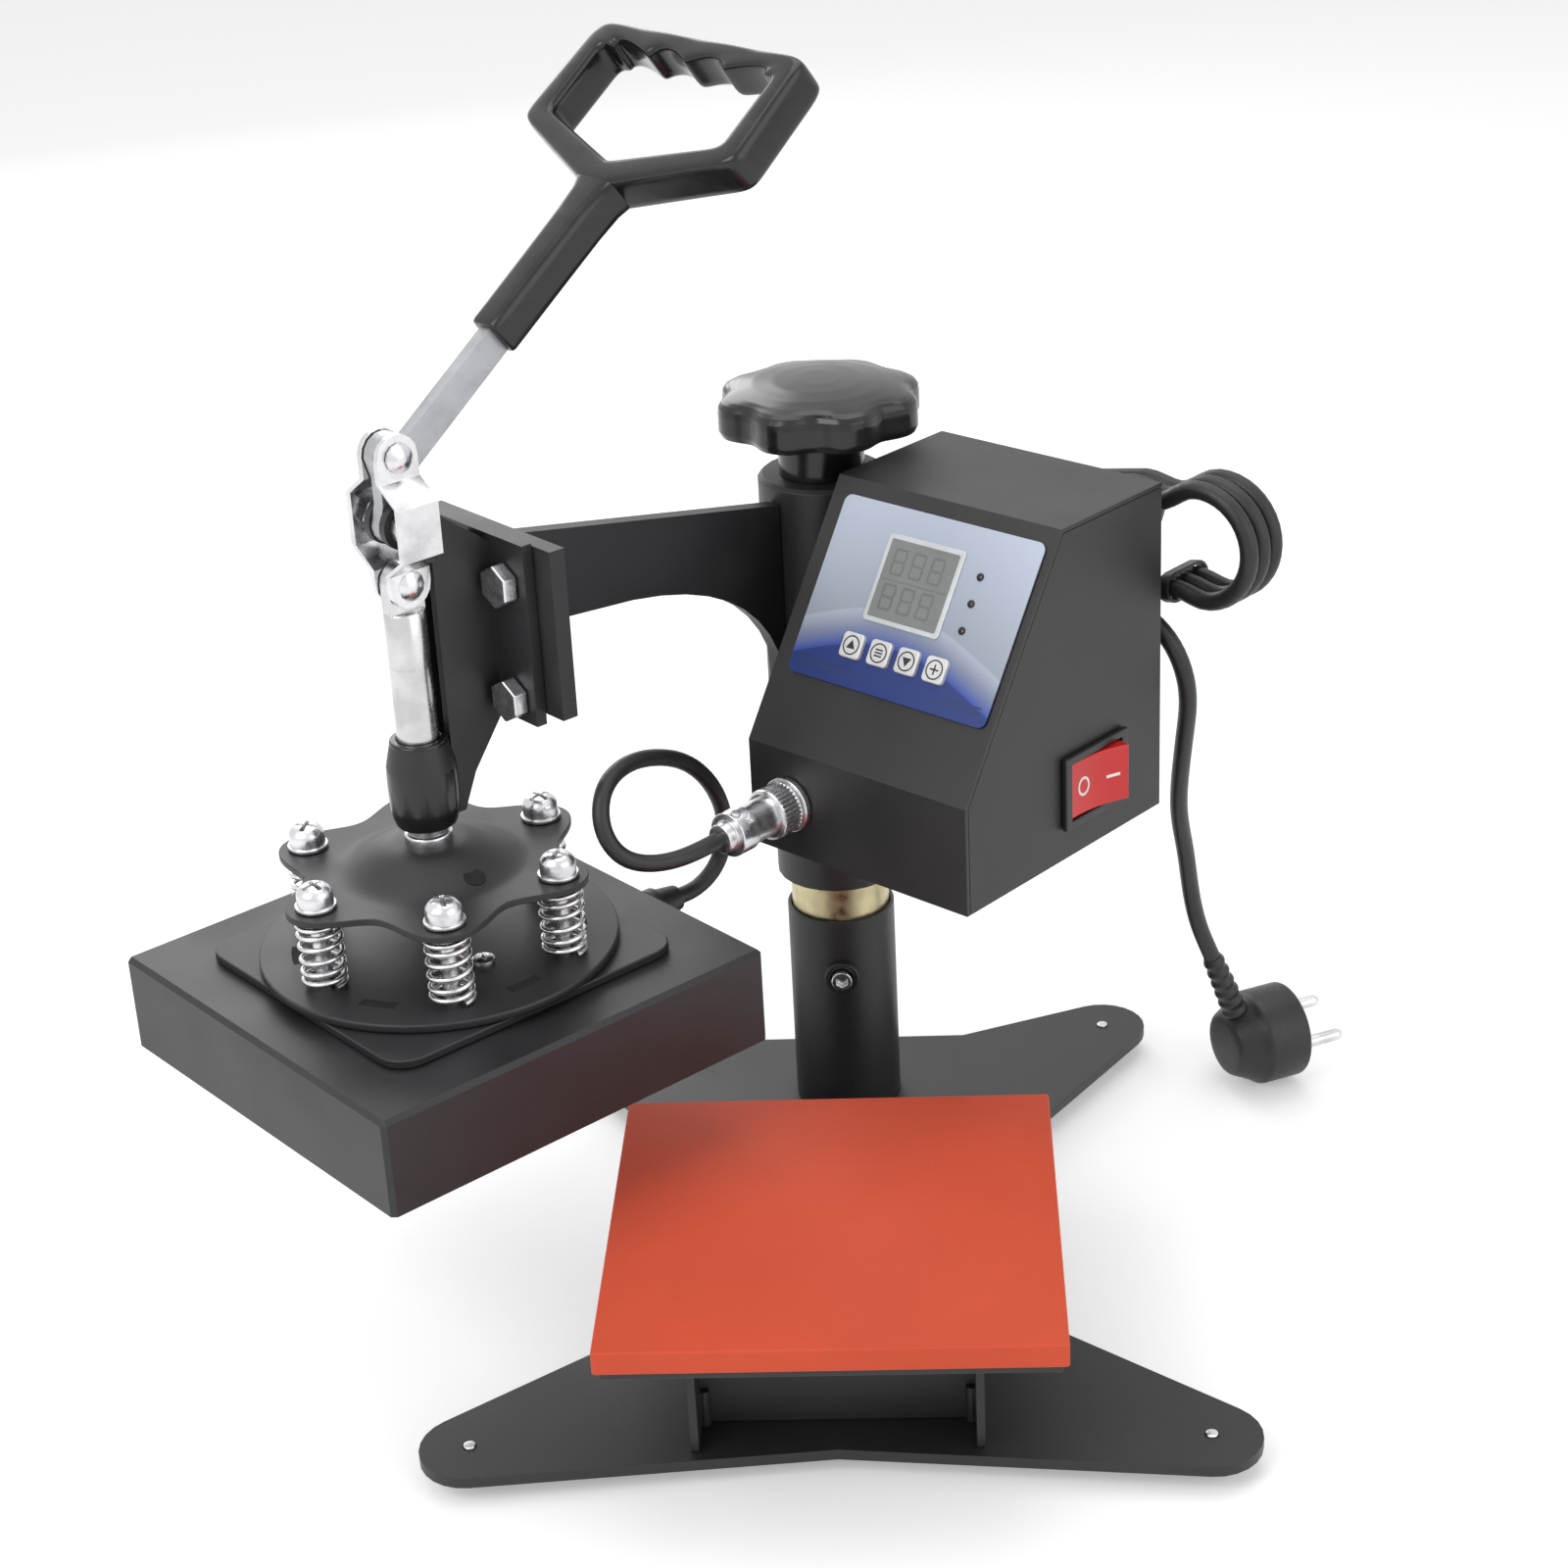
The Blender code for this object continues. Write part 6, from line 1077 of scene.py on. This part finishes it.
def lead_path():
    """The whole mains lead in the row frame: gland, hank and drop to the plug's relief."""
    run = np.array([math.cos(HANK_TILT), 0, math.sin(HANK_TILT)])
    hank = hank_points()
    back = np.linalg.inv(BOX_AXIS)
    nose, above = (put(back, put(RELIEF, (0, 0, z))) for z in (NOSE, NOSE + LEAD_STRAIGHT))
    entry = smooth_route([GLAND_TIP - (0, LEAD_SUNK, 0), GLAND_TIP, GLAND_TIP + (0, LEAD_STRAIGHT, 0),
                          *ENTRY_ROUTE, hank[0] - run * LEAD_STRAIGHT, hank[0]], LEAD_SPACING)
    drop = smooth_route([hank[-1], *DROP_ROUTE, above, nose, nose + (nose - above) * 0.4], LEAD_SPACING)
    return put(BOX_AXIS, np.vstack([entry[:-1], hank, drop[1:]]))


class PRESS_OT_leads(bpy.types.Operator):
    """Mains lead with its hank, glands, tie and plug, and the heater cable with its connector"""
    bl_idname = "press.leads"
    bl_label = "Leads"

    def execute(self, context):
        sizes = context.scene.press_sizes
        route = lead_path()
        lead = piece("mains_lead", [tube(route, sizes.lead_diameter / MM / 2)], "rubber", "swing_arm",
                     ("mains_lead_entry", "mains_hank", "mains_lead_drop"), angle=60)
        tie = dressed("cord_tie", "matte", "swing_arm", 0.2, 2)
        plug = self.plug()
        self.gland()
        self.heater(sizes.cable_diameter / MM / 2)
        return {"FINISHED"}

    def plug(self):
        """The angled plug: a barrel turned about its pins' axis, pins, earth clips and a ribbed relief."""
        barrel, relief = lathe(PLUG_BODY, PLUG @ ALONG_X, 72), ribbed_sleeve(RELIEF, **PLUG_SLEEVE)
        shell = piece("mains_plug_body", [barrel, relief], "rubber", "swing_arm", ("mains_plug",), angle=40)
        roll = PLUG @ turn(math.radians(20), "X")
        pins = [lathe(PLUG_PIN, roll @ shift(0, y) @ ALONG_X, 24) for y in (-9.5, 9.5)]
        steel = piece("mains_plug_pins", pins, "zinc", "swing_arm")
        across = PLUG @ turn(math.radians(110), "X")
        clips = [slab(-6, 10.8, y - 0.6, y + 0.6, -3, 3, across) for y in (-16.6, 16.6)]
        return shell, steel, piece("mains_plug_earth", clips, "zinc", "swing_arm", bevel=0.3)

    def gland(self):
        nut = lathe(GLAND_NUT, GLAND, 72, ribs=6, depth=1.1, ribbed=(0.2, 5))
        parts = [ribbed_sleeve(GLAND, **GLAND_SLEEVE), nut, lathe(GLAND_INNER, GLAND, 40)]
        piece("mains_gland_sleeve", parts, "rubber", "swing_arm", ("mains_gland",), angle=40)

    def heater(self, radius):
        body = [lathe(SOCKET_FLANGE, SOCKET, 64), lathe(SOCKET_REAR, SOCKET, 48)]
        piece("connector_socket_body", body, "zinc", "swing_arm", ("connector_socket",))
        ring = np.array(CONNECTOR_RING)
        fine = np.linspace(0, len(ring) - 1, 60)
        ring = np.column_stack([np.interp(fine, np.arange(len(ring)), ring[:, k]) for k in range(2)])
        knurl = turned(ring, SOCKET, 288, 36, 0.45, (4.2, 12.0))
        screws = [lathe(CONNECTOR_SCREW, SOCKET @ shift(0, 0, 28) @ turn(math.radians(60 + side * 14))
                        @ shift(0, 0, side * 2) @ ALONG_X, 20) for side in (-1, 1)]
        shell = [lathe(CONNECTOR_BODY, SOCKET, 64), knurl, *screws]
        piece("connector_plug_shell", shell, "zinc", "swing_arm", ("connector_plug",), angle=40)
        points = np.vstack([put(HEAD, CABLE_START), put(ARM, CABLE_ROUTE), put(SOCKET, CABLE_END)[::-1]])
        route = smooth_route(points, CABLE_SPACING)
        cable = piece("heater_cable_sleeve", [tube(route, radius)], "rubber", None, ("heater_cable",),
                      angle=60)
        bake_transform(cable)


# Stage: lamps as (name, watts, size, place, aim) in metres
LAMPS = [
    ("key", 15, 1.2, (-1.1, -1.1, 1.5), (0, 0, 0.15)),
    ("fill", 8, 1.6, (1.5, -1.0, 0.9), (0, 0, 0.15)),
    ("top", 10, 1.5, (0.1, 0.4, 1.9), (0, 0, 0.1)),
    ("rim", 6, 0.9, (-0.6, 1.5, 0.9), (0, 0, 0.2)),
]
FLOOR_HALF = 6
FLOOR_GLOW = 0.3
WORLD_LIGHT = 0.55
CAMERA_PLACE = (0.0924, -0.9223, 0.6268)
CAMERA_YAW = math.radians(-3.31)
CAMERA_PITCH = math.radians(25.23)
CAMERA_ROLL = math.radians(-2.99)
FOCAL_PIXELS = 3039.5
IMAGE_PIXELS = 1600
SENSOR = 36


class PRESS_OT_stage(bpy.types.Operator):
    """Pale floor, soft lamps and the camera"""
    bl_idname = "press.stage"
    bl_label = "Stage"

    def execute(self, context):
        self.floor()
        self.world(context.scene)
        for name, energy, size, place, aim in LAMPS:
            lamp = bpy.data.lights.new(name, "AREA")
            lamp.energy = energy
            lamp.shape = "SQUARE"
            lamp.size = size
            way = np.array(aim, float) - place
            self.stand(name, lamp, place, way / np.linalg.norm(way), 0)
        camera = bpy.data.cameras.new("camera")
        camera.sensor_width = SENSOR
        camera.lens = SENSOR * FOCAL_PIXELS / IMAGE_PIXELS
        camera.clip_start = 0.05
        level = math.cos(CAMERA_PITCH)
        ahead = (math.sin(CAMERA_YAW) * level, math.cos(CAMERA_YAW) * level, -math.sin(CAMERA_PITCH))
        context.scene.camera = self.stand("camera", camera, CAMERA_PLACE, ahead, CAMERA_ROLL)
        context.scene.view_settings.view_transform = "Standard"
        return {"FINISHED"}

    def floor(self):
        h = FLOOR_HALF
        mesh = bpy.data.meshes.new("floor")
        mesh.from_pydata([(-h, -h, 0), (h, -h, 0), (h, h, 0), (-h, h, 0)], [], [(0, 1, 2, 3)])
        floor = bpy.data.objects.new("floor", mesh)
        bpy.context.scene.collection.objects.link(floor)
        material, tree, bsdf = shader("pale_floor", (0.86, 0.86, 0.86), 0.7)
        seen = tree.nodes.new("ShaderNodeMath")
        seen.operation = "MULTIPLY"
        seen.inputs[1].default_value = FLOOR_GLOW
        tree.links.new(self.looked_at(tree), seen.inputs[0])
        bsdf.inputs["Emission Color"].default_value = (1, 1, 1, 1)
        tree.links.new(seen.outputs[0], bsdf.inputs["Emission Strength"])
        mesh.materials.append(material)

    def world(self, scene):
        """A soft even light, which the camera, mirrors and glass see as white."""
        world = bpy.data.worlds.new("studio")
        scene.world = world
        world.use_nodes = True
        tree = world.node_tree
        back = tree.nodes["Background"]
        back.inputs["Color"].default_value = (1, 1, 1, 1)
        pick = tree.nodes.new("ShaderNodeMapRange")
        pick.inputs["To Min"].default_value = WORLD_LIGHT
        pick.inputs["To Max"].default_value = 1.0
        tree.links.new(self.looked_at(tree), pick.inputs["Value"])
        tree.links.new(pick.outputs["Result"], back.inputs["Strength"])

    def looked_at(self, tree):
        """1 where the camera, a mirror-like surface or glass sees the surface, else 0."""
        path = tree.nodes.new("ShaderNodeLightPath")
        total = path.outputs["Is Camera Ray"]
        for name in ("Is Glossy Ray", "Is Transmission Ray"):
            most = tree.nodes.new("ShaderNodeMath")
            most.operation = "MAXIMUM"
            tree.links.new(total, most.inputs[0])
            tree.links.new(path.outputs[name], most.inputs[1])
            total = most.outputs[0]
        return total

    def stand(self, name, data, place, ahead, roll):
        """A lamp or the camera at a place, looking ahead, rolled about that line."""
        obj = bpy.data.objects.new(name, data)
        bpy.context.scene.collection.objects.link(obj)
        ahead = np.array(ahead, float)
        right = np.cross(ahead, (0, 0, 1))
        right /= np.linalg.norm(right)
        up = np.cross(right, ahead)
        c, s = math.cos(roll), math.sin(roll)
        matrix = np.eye(4)
        matrix[:3] = np.column_stack([c * right + s * up, -s * right + c * up, -ahead, place])
        obj.matrix_world = Matrix(matrix.tolist())
        return obj


class PRESS_PT_panel(bpy.types.Panel):
    """Sizes, colours and pieces of the heat press"""
    bl_label = "Heat Press"
    bl_idname = "PRESS_PT_panel"
    bl_space_type = "VIEW_3D"
    bl_region_type = "UI"
    bl_category = "Press"

    def draw(self, context):
        for group in (context.scene.press_sizes, context.scene.press_looks):
            column = self.layout.column()
            for key in group.__annotations__:
                column.prop(group, key)
        for operator in OPERATORS:
            self.layout.operator(operator.bl_idname)


OPERATORS = (PRESS_OT_stage, PRESS_OT_leads, PRESS_OT_stand, PRESS_OT_pad, PRESS_OT_column, PRESS_OT_knob,
             PRESS_OT_arm, PRESS_OT_handle, PRESS_OT_head, PRESS_OT_plunger, PRESS_OT_control_box,
             PRESS_OT_switch)
CLASSES = (PressLooks, PressSizes, *OPERATORS, PRESS_PT_panel)


def register():
    for cls in CLASSES:
        bpy.utils.register_class(cls)
    bpy.types.Scene.press_looks = PointerProperty(type=PressLooks)
    bpy.types.Scene.press_sizes = PointerProperty(type=PressSizes)


def unregister():
    del bpy.types.Scene.press_sizes
    del bpy.types.Scene.press_looks
    for cls in reversed(CLASSES):
        bpy.utils.unregister_class(cls)


def main():
    register()
    for operator in OPERATORS:
        group, name = operator.bl_idname.split(".")
        getattr(getattr(bpy.ops, group), name)()


if __name__ == "__main__":
    main()
